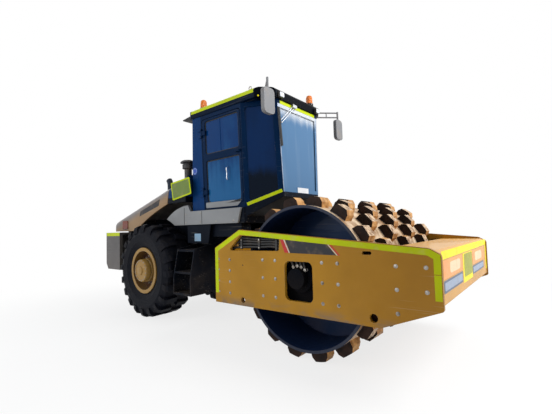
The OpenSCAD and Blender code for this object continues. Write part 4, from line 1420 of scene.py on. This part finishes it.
    def build_hoses(self) -> None:
        """Four hoses on each side, with their clamps and a brass fitting on the second one."""
        hoses = joined([self.hose(row, port) for row, port in zip(self.hose_rows, self.ports())])
        add_piece("slot_hoses", hoses.on_both_sides(), HOSE, self.body)
        x, z = self.clamp_half
        clamp = plate(softened([(-x, -z), (x, -z), (x, z), (-x, z)], 0.008), self.clamp_thickness, 0.003)
        clamps = right_face(self.clamp_face).place(scattered(clamp, np.array(self.clamps)))
        add_piece("hose_clamps", clamps.on_both_sides(), BLACK_PLASTIC, self.body)
        screws = crossed([place[0] for place in self.clamps[:2]], self.screw_heights)
        outside = right_face(self.clamp_face + self.clamp_thickness)
        heads = outside.place(scattered(bolt_head(*self.small_bolt), screws))
        add_piece("clamp_screws", heads.on_both_sides(), ZINC, self.body)
        stem = [(0, 0), (0.016, 0), (0.02, 0.005), (0.02, 0.03), (0.0165, 0.036), (0.0165, 0.07), (0, 0.07)]
        fitting = Plane((0.745, -1.1055, 1.2065), (-0.2, 0, 1), (0, 1, 0)).place(turned(stem, 12))
        add_piece("slot_fittings", fitting.on_both_sides(), BRASS, self.body)


@dataclass
class RearWheel:
    """Bolts, hub cap and valve of one rear wheel, drawn in x and z on its outer side."""

    side: Side
    axle: Flat = (-1.6, 0.76)
    hub_face: float = 0.975
    web_face: float = 0.865
    bolts: int = 16
    hub_ring: float = 0.162
    hub_step: float = 0.079
    hub_bolt: Flat = (0.009, 0.007)
    web_ring: float = 0.232
    web_bolt: Flat = (0.014, 0.018)
    valve_at: float = 0.29

    def build(self) -> None:
        """Builds the wheel's small pieces."""
        side = self.side.value
        x, z = self.axle
        hub, web = right_face(self.hub_face, x, z), right_face(self.web_face, x, z)
        step = np.full(self.bolts, self.hub_step)
        raised = np.column_stack([round_places(self.bolts, self.hub_ring), step])
        heads = joined(
            [
                hub.place(scattered(bolt_head(*self.hub_bolt), raised)),
                web.place(scattered(bolt_head(*self.web_bolt), round_places(self.bolts, self.web_ring))),
            ]
        )
        barrel = [(0, 0), (0.186, 0), (0.184, 0.062), (0.174, 0.078), (0.15, 0.082), (0.146, 0.076)]
        nose = [(0.07, 0.078), (0.064, 0.092), (0.05, 0.096), (0, 0.097)]
        cap = hub.place(turned(barrel + nose, 48))
        stem = turned([(0, 0), (0.012, 0), (0.01, 0.02), (0.006, 0.024), (0.006, 0.055), (0, 0.057)], 12)
        valve = right_face(self.web_face, x + self.valve_at, z).place(stem)
        for name, made, finish, slot in (
            ("rim_bolts", heads, ZINC, "chrome"),
            ("hub_cap", cap, RIM_OCHRE, "body_paint"),
            ("tyre_valve", valve, BRASS, None),
        ):
            add_piece(f"{name}_{side}", made.on(self.side), finish, f"wheel_{side}")


@dataclass
class Cab:
    """Seals, tape, lamps and small fittings of the cab."""

    body: str = "chassis"
    sill: Flat = (0.672, 1.690)
    top: Flat = (0.722, 3.130)
    post: float = 0.44
    screen_low: Triple = (0.924, 0.43, 1.873)
    screen_top: Flat = (0.900, 3.130)
    screen_edge: Outline = ((-0.425, 1.88), (0.425, 1.88), (0.478, 3.074), (-0.478, 3.074))
    trim: Outline = ((-0.4295, 1.876), (-0.418, 1.876), (-0.462, 3.074), (-0.4835, 3.074))
    glass_depth: float = 0.016
    upper_pane: Outline = ((-0.33, 2.53), (0.376, 2.53), (0.376, 3.03), (-0.33, 3.03))
    lower_pane: Outline = (
        (-0.33, 1.83), (-0.24, 1.76), (0.29, 1.76), (0.376, 1.82), (0.376, 2.43), (-0.33, 2.43),
    )
    kick: Outline = ((-0.372, 1.722), (0.298, 1.722), (0.378, 1.788), (0.378, 1.806), (-0.372, 1.806))
    grip_x: float = 0.137
    grip: Outline = ((2.10, -0.014), (2.104, 0.02), (2.19, 0.026), (2.276, 0.02), (2.28, -0.014))
    roof_side: float = 0.735
    roof_edge: float = 0.05
    roof_tape: Triple = (-0.628, 0.697, 3.22)
    lamp_face: float = 0.9615
    lamp_at: Flat = (0.45, 3.178)
    lens: Triple = (0.088, 0.064, 0.012)
    mirror_face: float = 1.0402
    mirror_at: Flat = (0.877, 2.946)
    mirror: Triple = (0.17, 0.285, 0.03)
    eye_at: Triple = (0.62, -0.706, 3.281)
    eye_radius: float = 0.024
    eye_rod: float = 0.006
    eye_foot: float = 3.255
    visor: Triple = (1.40, 0.23, 0.03)
    visor_at: Triple = (-0.682, 0, 3.206)
    visor_back: Triple = (-0.993, 0, -0.114)
    visor_reach: float = 0.112
    label_at: Flat = (-0.606, 2.315)
    label_radii: Flat = (0.056, 0.044)
    marker_at: Triple = (0.7515, -0.6995, 3.150)
    note: Triple = (0.27, 0.074, 0.006)
    note_at: Flat = (0.03, 1.918)
    blade: tuple[Triple, Triple] = ((0.9305, -0.484, 3.008), (0.9405, -0.446, 2.490))

    def wall(self) -> Plane:
        """The right wall's outer face: local x is the machine's x and local y the height above z 0."""
        lean = (self.top[0] - self.sill[0]) / (self.top[1] - self.sill[1])
        return Plane((0, -self.sill[0] + lean * self.sill[1], 0), (1, 0, 0), (0, -lean, 1))

    def screen(self) -> Plane:
        """The windscreen wall's outer face: local x is the machine's y and local y the height."""
        lean = (self.screen_top[0] - self.screen_low[0]) / (self.screen_top[1] - self.screen_low[2])
        return Plane((self.screen_low[0] - lean * self.screen_low[2], 0, 0), (0, 1, 0), (lean, 0, 1))

    def corner(self) -> Plane:
        """The right front corner's outer face, from the post's foot along the lower edge."""
        foot = np.array([self.post, -self.sill[0], self.sill[1]])
        end = np.array([self.screen_low[0], -self.screen_low[1], self.screen_low[2]])
        rise = (0, self.sill[0] - self.top[0], self.top[1] - self.sill[1])
        return Plane(tuple(foot), tuple(end - foot), rise)

    def build(self) -> None:
        """Builds all pieces of the cab."""
        self.build_seals()
        self.build_surround()
        self.build_tape()
        self.build_lamps()
        self.build_top()
        self.build_label()
        self.build_front()

    def build_seals(self) -> None:
        """Rubber round each door's panes, a flat ribbon on the glass, and the sliding pane's edge."""
        panes = (softened(self.upper_pane, 0.045), softened(self.lower_pane, 0.04))
        rubbers = joined([ribbon(pane, 0.014, 0.006, closed=True) for pane in panes])
        seals = self.wall().place(rubbers.sunk(self.glass_depth))
        add_to_doors(("door_seals", seals, SEAL, "black_plastic"))
        edge = plate(rounded(0.016, 0.478, 0.003) + (-0.008, 2.78), 0.006, 0.002)
        slider = self.wall().place(edge.sunk(self.glass_depth))
        add_to_doors(("door_slider", slider, DOOR_PANE, "glass"))

    def build_surround(self) -> None:
        """The windscreen's bonded edge, bright trim beside it, and the doors' kick plates and handles."""
        border = ribbon(self.screen_edge, 0.05, 0.0016, closed=True)
        add_piece("screen_border", self.screen().place(border), SCREEN, self.body)
        strip = self.screen().place(plate(np.array(self.trim), 0.003))
        add_piece("screen_trim", strip.on_both_sides(), TRIM, self.body)
        kick = self.wall().place(plate(softened(self.kick, 0.02), 0.002))
        bar = [(self.grip_x, height, out) for height, out in self.grip]
        grip = self.wall().place(tube(bar, 0.007, (1, 0, 0)))
        add_to_doors(("door_kick", kick, SKIRT_GREY, "grey_paint"), ("door_grip", grip, SILVER, "chrome"))

    def build_tape(self) -> None:
        """Bright tape on the roof's sides, over the windscreen and along the corners' lower edges."""
        turn = np.linspace(0, np.radians(62), 8)
        bow = np.concatenate([[(1.0, -0.4)], np.stack([np.cos(turn), np.sin(turn)], -1)])
        outer = bow * (self.roof_edge + FILM) - (self.roof_edge, 0)
        inner = bow * (self.roof_edge - 0.0008) - (self.roof_edge, 0)
        rear, front, height = self.roof_tape
        line = np.linspace((rear, -self.roof_side, height), (front, -self.roof_side, height), 6)
        side = carried(line, np.concatenate([outer, inner[::-1]]), (0, 0, 1))
        low = self.corner().place(plate(rounded(0.52, 0.044, 0.004) + (0.3, 0.027), FILM))
        brow = self.screen().place(plate(rounded(0.86, 0.046, 0.004) + (0, 3.1), FILM))
        add_piece("cab_tape", joined([side.on_both_sides(), low.on_both_sides(), brow]), LIME, self.body)

    def build_lamps(self) -> None:
        """Domed lenses on the work lamps, and silvered glass in the mirrors."""
        both = np.array([(-1, 1), (1, 1)])
        lens = scattered(plate(rounded(*self.lens), 0.003, 0.001, 0.004), both * self.lamp_at)
        lenses = front_face(self.lamp_face).place(lens)
        add_piece("lamp_lenses", lenses, LAMP_GLASS, self.body)
        glass = scattered(plate(rounded(*self.mirror), 0.002, 0.0008), both * self.mirror_at)
        mirrors = rear_face(self.mirror_face).place(glass)
        add_piece("mirror_glass", mirrors, SILVER, self.body)

    def build_top(self) -> None:
        """Lifting eyes on the roof, and a visor over the rear glass."""
        x, y, z = self.eye_at
        loop = ring(self.eye_radius, 28) + (x, z)
        path = np.column_stack([loop[:, 0], np.full(len(loop), y), loop[:, 1]])
        eye = carried(path, ring(self.eye_rod), (0, 1, 0), loop=True)
        foot = turned([(0, 0), (0.018, 0), (0.018, 0.012), (0.009, 0.016), (0, 0.016)], 16)
        base = Plane((x, y, self.eye_foot), (1, 0, 0), (0, 1, 0)).place(foot)
        add_piece("lifting_eyes", joined([eye, base]).on_both_sides(), ZINC, self.body)
        shade = plate(rounded(*self.visor) + (0, self.visor_reach), 0.006, 0.002)
        visor = Plane(self.visor_at, (0, -1, 0), self.visor_back).place(shade)
        add_piece("rear_visor", visor, BLACK_PLASTIC, self.body)

    def build_label(self) -> None:
        """A blank round label on the right wall, with a paler ring."""
        whole, band = (ring(radius, 32) + self.label_at for radius in self.label_radii)
        add_piece("round_label", self.wall().place(plate(whole, 0.001)), LABEL_BLUE, self.body)
        pale = ribbon(band, 0.007, 0.0016, closed=True)
        add_piece("round_label_ring", self.wall().place(pale), LABEL_SKY, self.body)

    def build_front(self) -> None:
        """Round markers on the corners, a blank label low on the windscreen and the right wiper's blade."""
        marker = plate(ring(0.012, 20), 0.003, 0.001, 0.004)
        markers = Plane(self.marker_at, (1, 1, 0), (0, 0, 1)).place(marker).on_both_sides()
        add_piece("corner_markers", markers, YELLOW, self.body)
        note = plate(rounded(*self.note) + self.note_at, 0.003)
        add_piece("screen_label", self.screen().place(note), LABEL_PALE, self.body)
        lip = np.array([(-0.013, -0.004), (0.013, -0.004), (0.011, 0.004), (0.0, 0.009), (-0.011, 0.004)])
        rubber = carried(np.linspace(*self.blade, 8), lip, (1, 0, 0))
        add_piece("wiper_rubber", rubber, SEAL, self.body)


@dataclass
class Seat:
    """The operator's padded seat on its bellows."""

    body: str = "chassis"
    cushion_half: Triple = (0.238, 0.248, 0.048)
    cushion_at: Triple = (-0.100, 0.0, 1.953)
    back_half: Triple = (0.298, 0.238, 0.044)
    back_at: Triple = (-0.338, 0.0, 2.325)
    lean: float = math.radians(-81.7)
    crown: float = 0.010
    squareness: float = 0.3
    swell: float = 0.008
    fill: float = 0.7
    voxel: float = 0.007
    pressure: float = 4.0
    frames: int = 20

    def build(self) -> None:
        """Builds cushion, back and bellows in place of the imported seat."""
        cushion = self.pad("seat_cushion", self.cushion_half, self.cushion_at, 0.0)
        back = self.pad("seat_back", self.back_half, self.back_at, self.lean)
        for piece in (cushion, back):
            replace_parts(piece, "seat")
        self.piping()
        self.bellows()

    def turn(self, points: np.ndarray, at: Triple, lean: float) -> np.ndarray:
        """Points turned about y by the lean and moved to their place.

        Args:
            points: points (..., 3) of a pad lying flat about the origin.
            at: place of the pad's middle.
            lean: angle that the pad's front edge is raised by.

        Returns:
            The points in the frame.
        """
        cos, sin = math.cos(lean), math.sin(lean)
        spin = np.array([[cos, 0, -sin], [0, 1, 0], [sin, 0, cos]])
        return points @ spin + np.array(at)

    def pad(self, name: str, half: Triple, at: Triple, lean: float) -> bpy.types.Object:
        """One crowned pad, swollen by a short cloth simulation.

        Args:
            name: the piece's name.
            half: half sizes before swelling.
            at: place of the middle.
            lean: angle about y.

        Returns:
            The finished piece.
        """
        form = cushion_form(half, self.crown, self.squareness)
        placed = Surface(self.turn(form.points, at, lean), form.quads)
        piece = add_piece(name, placed, CLOTH, self.body, 60)
        self.inflate(piece)
        return piece

    def inflate(self, piece: bpy.types.Object) -> None:
        """Remeshes a pad, blows it up as cloth for a few frames, and keeps each point within swell.

        Args:
            piece: the pad, whose mesh is replaced.
        """
        bpy.context.view_layer.objects.active = piece
        piece.select_set(True)
        piece.data.remesh_voxel_size = self.voxel
        bpy.ops.object.voxel_remesh()
        start = np.empty(len(piece.data.vertices) * 3)
        piece.data.vertices.foreach_get("co", start)
        cloth = piece.modifiers.new("cloth", "CLOTH")
        cloth.settings.use_pressure = True
        cloth.settings.uniform_pressure_force = self.pressure
        cloth.settings.effector_weights.gravity = 0.0
        cloth.point_cache.frame_end = self.frames
        scene = bpy.context.scene
        for number in range(1, self.frames + 1):
            scene.frame_set(number)
        bpy.ops.object.modifier_apply(modifier=cloth.name)
        scene.frame_set(1)
        end = np.empty_like(start)
        piece.data.vertices.foreach_get("co", end)
        move = (end - start).reshape(-1, 3)
        length = np.linalg.norm(move, axis=1, keepdims=True)
        kept = start.reshape(-1, 3) + move * np.minimum(1, self.swell / np.maximum(length, 1e-9))
        piece.data.vertices.foreach_set("co", kept.ravel())
        piece.data.update()
        piece.data.polygons.foreach_set("use_smooth", np.ones(len(piece.data.polygons), bool))
        piece.select_set(False)

    def piping(self) -> None:
        """Sewn piping round both pads, a loop on each pad's widest line."""
        angle = np.linspace(0, 2 * np.pi, 120, endpoint=False)
        wave = np.stack([np.cos(angle), np.sin(angle), 0 * angle], -1)
        outline = np.sign(wave) * np.abs(wave) ** self.squareness
        cords = []
        pads = ((self.cushion_half, self.cushion_at, 0.0), (self.back_half, self.back_at, self.lean))
        for half, at, lean in pads:
            reach = np.array([half[0] + self.swell - 0.002, half[1] + self.swell - 0.002, 0])
            line = self.turn(outline * reach, at, lean)
            up = self.turn(np.array([0.0, 0.0, 1.0]), (0, 0, 0), lean)
            cords.append(carried(line, ring(0.005, 8), tuple(up), loop=True))
        add_piece("seat_piping", joined(cords), SEAL, self.body)

    def bellows(self) -> None:
        """A folded rubber boot: a rounded rectangle whose size waves with height."""
        height = np.linspace(1.562, 1.902, 49)
        scale = 0.95 - 0.045 * np.cos(2 * np.pi * 6 * (height - height[0]) / (height[-1] - height[0]))
        flat = rounded(0.34, 0.36, 0.05)
        rows = flat[None] * scale[:, None, None] + (-0.16, 0)
        grid = np.concatenate([rows, np.broadcast_to(height[:, None, None], (*rows.shape[:2], 1))], -1)
        ends = np.broadcast_to(grid[[0, -1]].mean(1, keepdims=True), (2, len(flat), 3))
        boot = woven(np.concatenate([ends[:1], grid, ends[1:]]), wrap_cols=True)
        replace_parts(add_piece("seat_bellows", boot, SEAL, self.body, 60), "seat")


@dataclass
class RearBody:
    """Bands, plates and small fittings of the hood, cowl, counterweight, steps and skirts."""

    body: str = "chassis"
    hood: str = "hood_body"
    side: float = 0.780
    band: Outline = ((-2.105, 1.672), (-1.485, 1.826), (-1.445, 1.936), (-2.07, 1.762))
    sign: Outline = ((-1.066, 1.884), (-0.585, 1.957), (-0.632, 2.222), (-1.120, 2.172))
    sign_thickness: float = 0.004
    sign_edge: float = 0.024
    weight_edge: Outline = ((-2.445, -0.98), (-2.938, -0.98), (-3.0, -0.918))
    weight_tape: float = 1.362
    screen_x: float = -2.947
    screen_half: float = 0.64
    screen_heights: Flat = (1.429, 1.533)
    wire: float = 0.0022
    wires: int = 90
    bars: int = 9
    fins: int = 281
    fin_pitch: float = 0.016
    fin_depth: float = 0.012
    cooler: Flat = (-2.80, -2.70)
    cooler_half: float = 0.56
    cooler_heights: Flat = (1.405, 1.545)
    cooler_frame: Triple = (1.24, 0.166, 0.02)
    frame_face: float = -2.69
    frame_middle: float = 1.478
    panel: Outline = ((-0.80, 1.196), (-0.30, 1.196), (-0.24, 1.484), (-0.80, 1.484))
    panel_face: float = 0.700
    panel_thickness: float = 0.006
    skirt_face: float = 0.726
    laps: tuple[Triple, ...] = ((-0.85, 1.622, 0.27), (-0.42, 1.585, 0.195))
    skirt_bolts: tuple[Outline, ...] = (((-0.81, -0.46), (1.52, 1.65)), ((-0.1, 0.26), (1.515,)))

    def build(self) -> None:
        """Builds all pieces of the rear part."""
        self.build_films()
        self.build_tape()
        self.build_screen()
        self.build_radiator()
        self.build_step_panels()
        self.build_skirts()

    def build_films(self) -> None:
        """Dark bands on the hood's sides, and a blank sign with a bright edge on the cowl's right."""
        band = right_face(self.side).place(plate(softened(self.band, 0.012), FILM))
        add_piece("hood_band", band.on_both_sides(), BAND_BLACK, self.hood)
        proud = self.side + self.sign_thickness
        board = plate(softened(self.sign, 0.02), self.sign_thickness, 0.0015)
        add_piece("sign_plate", right_face(proud).place(board), LIME, self.body)
        sign = np.array(self.sign)
        field = plate(softened(sign + self.sign_edge * mitres(sign, True), 0.012), 0.001)
        add_piece("sign_field", right_face(proud + self.sign_thickness).place(field), DULL_LIME, self.body)

    def build_tape(self) -> None:
        """Bright tape along the counterweight's upper edge, on its sides and its rear."""
        right = np.array(self.weight_edge)
        turn = np.concatenate([right, right[::-1] * (1, -1)])
        line = np.column_stack([turn, np.full(len(turn), self.weight_tape)])
        section = np.array([(-FILM, -0.03), (0.0004, -0.03), (0.0004, 0.03), (-FILM, 0.03)])
        add_piece("weight_tape", carried(line, section, (0, 0, 1)), LIME, self.body)

    def build_screen(self) -> None:
        """A wire screen behind the hood's rear grille, thin bars in two layers."""
        low, high = self.screen_heights
        wire = plate(rounded(self.wire, high - low + 0.008, 0.001, 3), 0.002, 0.0005)
        bar = plate(rounded(2 * self.screen_half + 0.02, self.wire, 0.001, 3), 0.002, 0.0005)
        columns = np.linspace(-self.screen_half, self.screen_half, self.wires)
        upright = scattered(wire, crossed(columns, ((low + high) / 2,)))
        heights = crossed((0.0,), np.linspace(low, high, self.bars))
        level = scattered(bar, np.column_stack([heights, np.full(self.bars, 0.002)]))
        screen = rear_face(self.screen_x).place(joined([upright, level]))
        add_piece("grille_screen", screen, BLACK, self.hood)

    def build_radiator(self) -> None:
        """A finned cooler behind the grille: a frame, and fins that fold in zigzag along y."""
        rear, front = self.cooler
        y = np.linspace(-self.cooler_half, self.cooler_half, self.fins)
        fold = self.fin_depth * np.abs((y / self.fin_pitch) % 2 - 1)
        z = np.linspace(*self.cooler_heights, 3)[:, None]
        fins = np.stack([rear - fold + 0 * z, y + 0 * z, z + 0 * y], -1)
        back = fins * (0, 1, 1) + (front, 0, 0)
        core = woven(np.concatenate([fins, back[::-1]]), wrap_rows=True)
        caps = [woven(np.stack([fins[:, end], back[:, end]])) for end in (0, -1)]
        add_piece("radiator_core", joined([core, *caps]), HOSE, self.body, 20)
        rim = ribbon(rounded(*self.cooler_frame) + (0, self.frame_middle), 0.026, 0.125, closed=True)
        add_piece("radiator_frame", rear_face(self.frame_face).place(rim), BLACK, self.body)

    def build_step_panels(self) -> None:
        """A panel between steps and skirt on each side, with a small blank label on the right one."""
        panel = plate(softened(self.panel, 0.02), self.panel_thickness, 0.002)
        panels = right_face(self.panel_face).place(panel).on_both_sides()
        add_piece("step_panels", panels, BLACK, self.body)
        label = plate(rounded(0.15, 0.115, 0.01) + (-0.55, 1.285), 0.001)
        flat = right_face(self.panel_face + self.panel_thickness).place(label)
        add_piece("step_label", flat, LABEL_SKY, self.body)

    def build_skirts(self) -> None:
        """Lap joints and bolts on the skirts under the cab."""
        face = right_face(self.skirt_face)
        laps = [plate(rounded(0.009, high, 0.003) + (x, z), 0.002) for x, z, high in self.laps]
        add_piece("skirt_laps", face.place(joined(laps)).on_both_sides(), SEAL, self.body)
        places = np.concatenate([crossed(columns, rows) for columns, rows in self.skirt_bolts])
        heads = face.place(scattered(bolt_head(0.010, 0.006), places))
        add_piece("skirt_bolts", heads.on_both_sides(), ZINC, self.body)


# Studio


@dataclass
class Studio:
    """Camera, lamps, floor and background."""

    place: Triple = (3.679, -4.023, 1.395)
    azimuth: float = 38.924
    elevation: float = -3.027
    roll: float = -1.68
    lens: float = 22.254
    shift: Flat = (0.0005, 0.0052)
    sensor: float = 36.0
    aim: Triple = (0.2, 0.0, 1.3)

    def build(self) -> None:
        """Sets up the whole studio."""
        bpy.context.scene.view_settings.view_transform = "Standard"
        self.camera()
        self.lamp("key_lamp", (7.5, 2.2, 7.5), 5.0, 900.0)
        self.lamp("side_lamp", (-3.5, -9.5, 5.0), 6.0, 300.0)
        self.lamp("back_lamp", (-8.0, 4.0, 6.0), 6.0, 200.0)
        self.world()
        self.floor()

    def camera(self) -> None:
        """A camera that looks back along azimuth and elevation, turned by the roll."""
        a, e, r = (math.radians(x) for x in (self.azimuth, self.elevation, self.roll))
        back = np.array([math.sin(a) * math.cos(e), -math.cos(a) * math.cos(e), math.sin(e)])
        right = np.array([math.cos(a), math.sin(a), 0.0])
        up = np.cross(back, right)
        axes = np.eye(4)
        axes[:3, 0] = math.cos(r) * right + math.sin(r) * up
        axes[:3, 1] = math.cos(r) * up - math.sin(r) * right
        axes[:3, 2], axes[:3, 3] = back, self.place
        data = bpy.data.cameras.new("photo_camera")
        data.lens, data.sensor_width = self.lens, self.sensor
        data.shift_x, data.shift_y = self.shift
        camera = bpy.data.objects.new("photo_camera", data)
        camera.matrix_world = Matrix(axes.tolist())
        bpy.context.scene.collection.objects.link(camera)
        bpy.context.scene.camera = camera

    def lamp(self, name: str, place: Triple, size: float, power: float) -> None:
        """A square area lamp that looks at the middle of the machine.

        Args:
            name: the lamp's name.
            place: where it stands.
            size: its side length.
            power: its power in watts.
        """
        data = bpy.data.lights.new(name, "AREA")
        data.size, data.energy = size, power
        away = np.array(place) - self.aim
        away /= np.linalg.norm(away)
        right = np.cross((0, 0, 1), away)
        right /= np.linalg.norm(right)
        axes = np.eye(4)
        axes[:3, :4] = np.column_stack([right, np.cross(away, right), away, place])
        lamp = bpy.data.objects.new(name, data)
        lamp.matrix_world = Matrix(axes.tolist())
        bpy.context.scene.collection.objects.link(lamp)

    def seen(self, g: Graph) -> Socket:
        """One for rays from the camera, and for those that metal mirrors or a pane passes on."""
        path = g.node("LightPath").outputs
        direct = g.math("MAXIMUM", path["Is Camera Ray"], path["Is Transmission Ray"])
        return g.math("MAXIMUM", direct, path["Is Glossy Ray"])

    def world(self) -> None:
        """A white background, with soft cool light for everything else."""
        world = bpy.data.worlds.new("studio")
        world.use_nodes = True
        bpy.context.scene.world = world
        g = Graph(world.node_tree)
        sky = world.node_tree.nodes["Background"]
        seen = self.seen(g)
        g.feed(sky.inputs["Color"], g.blend(seen, (0.90, 0.95, 1.0, 1), WHITE))
        g.feed(sky.inputs["Strength"], g.ramp(seen, 0.0, 1.0, 0.4, 1.0))

    def floor(self) -> None:
        """A wide pale disc that keeps the machine's shadow and fades into the white background."""
        disc = turned([(0, -0.002), (8, -0.002), (60, -0.002)], 64)
        mesh = bpy.data.meshes.new("floor")
        mesh.from_pydata(disc.points, [], disc.quads.tolist())
        made = bpy.data.materials.new("pale floor")
        made.use_nodes = True
        g = Graph(made.node_tree)
        g.give("Base Color", g.blend(g.noise(3, 4), (0.86, 0.86, 0.86, 1), (0.9, 0.9, 0.9, 1)))
        g.give("Roughness", 0.9)
        white = g.node("Emission", {"Color": WHITE, "Strength": 1.0}).outputs[0]
        x, y, _ = g.axes()
        far = g.length(g.node("CombineXYZ", {0: x, 1: y}).outputs[0])
        share = g.product(self.seen(g), g.ramp(far, 2.5, 7.0, 0.78, 1.0))
        mix = g.node("MixShader", {0: share, 1: g.shader.outputs[0], 2: white}).outputs[0]
        g.feed(made.node_tree.nodes["Material Output"].inputs["Surface"], mix)
        mesh.materials.append(made)
        floor = bpy.data.objects.new("floor", mesh)
        bpy.context.scene.collection.objects.link(floor)


def main() -> None:
    """Dresses the nodes, builds each sub-assembly and sets up the studio."""
    logging.basicConfig(level=logging.INFO, format="%(name)s: %(message)s")
    dress_nodes()
    wheels = [RearWheel(side) for side in Side]
    for assembly in (DrumFrame(), *wheels, Cab(), Seat(), RearBody(), Studio()):
        assembly.build()
        LOG.info("built %s", type(assembly).__name__)


if __name__ == "__main__":
    main()
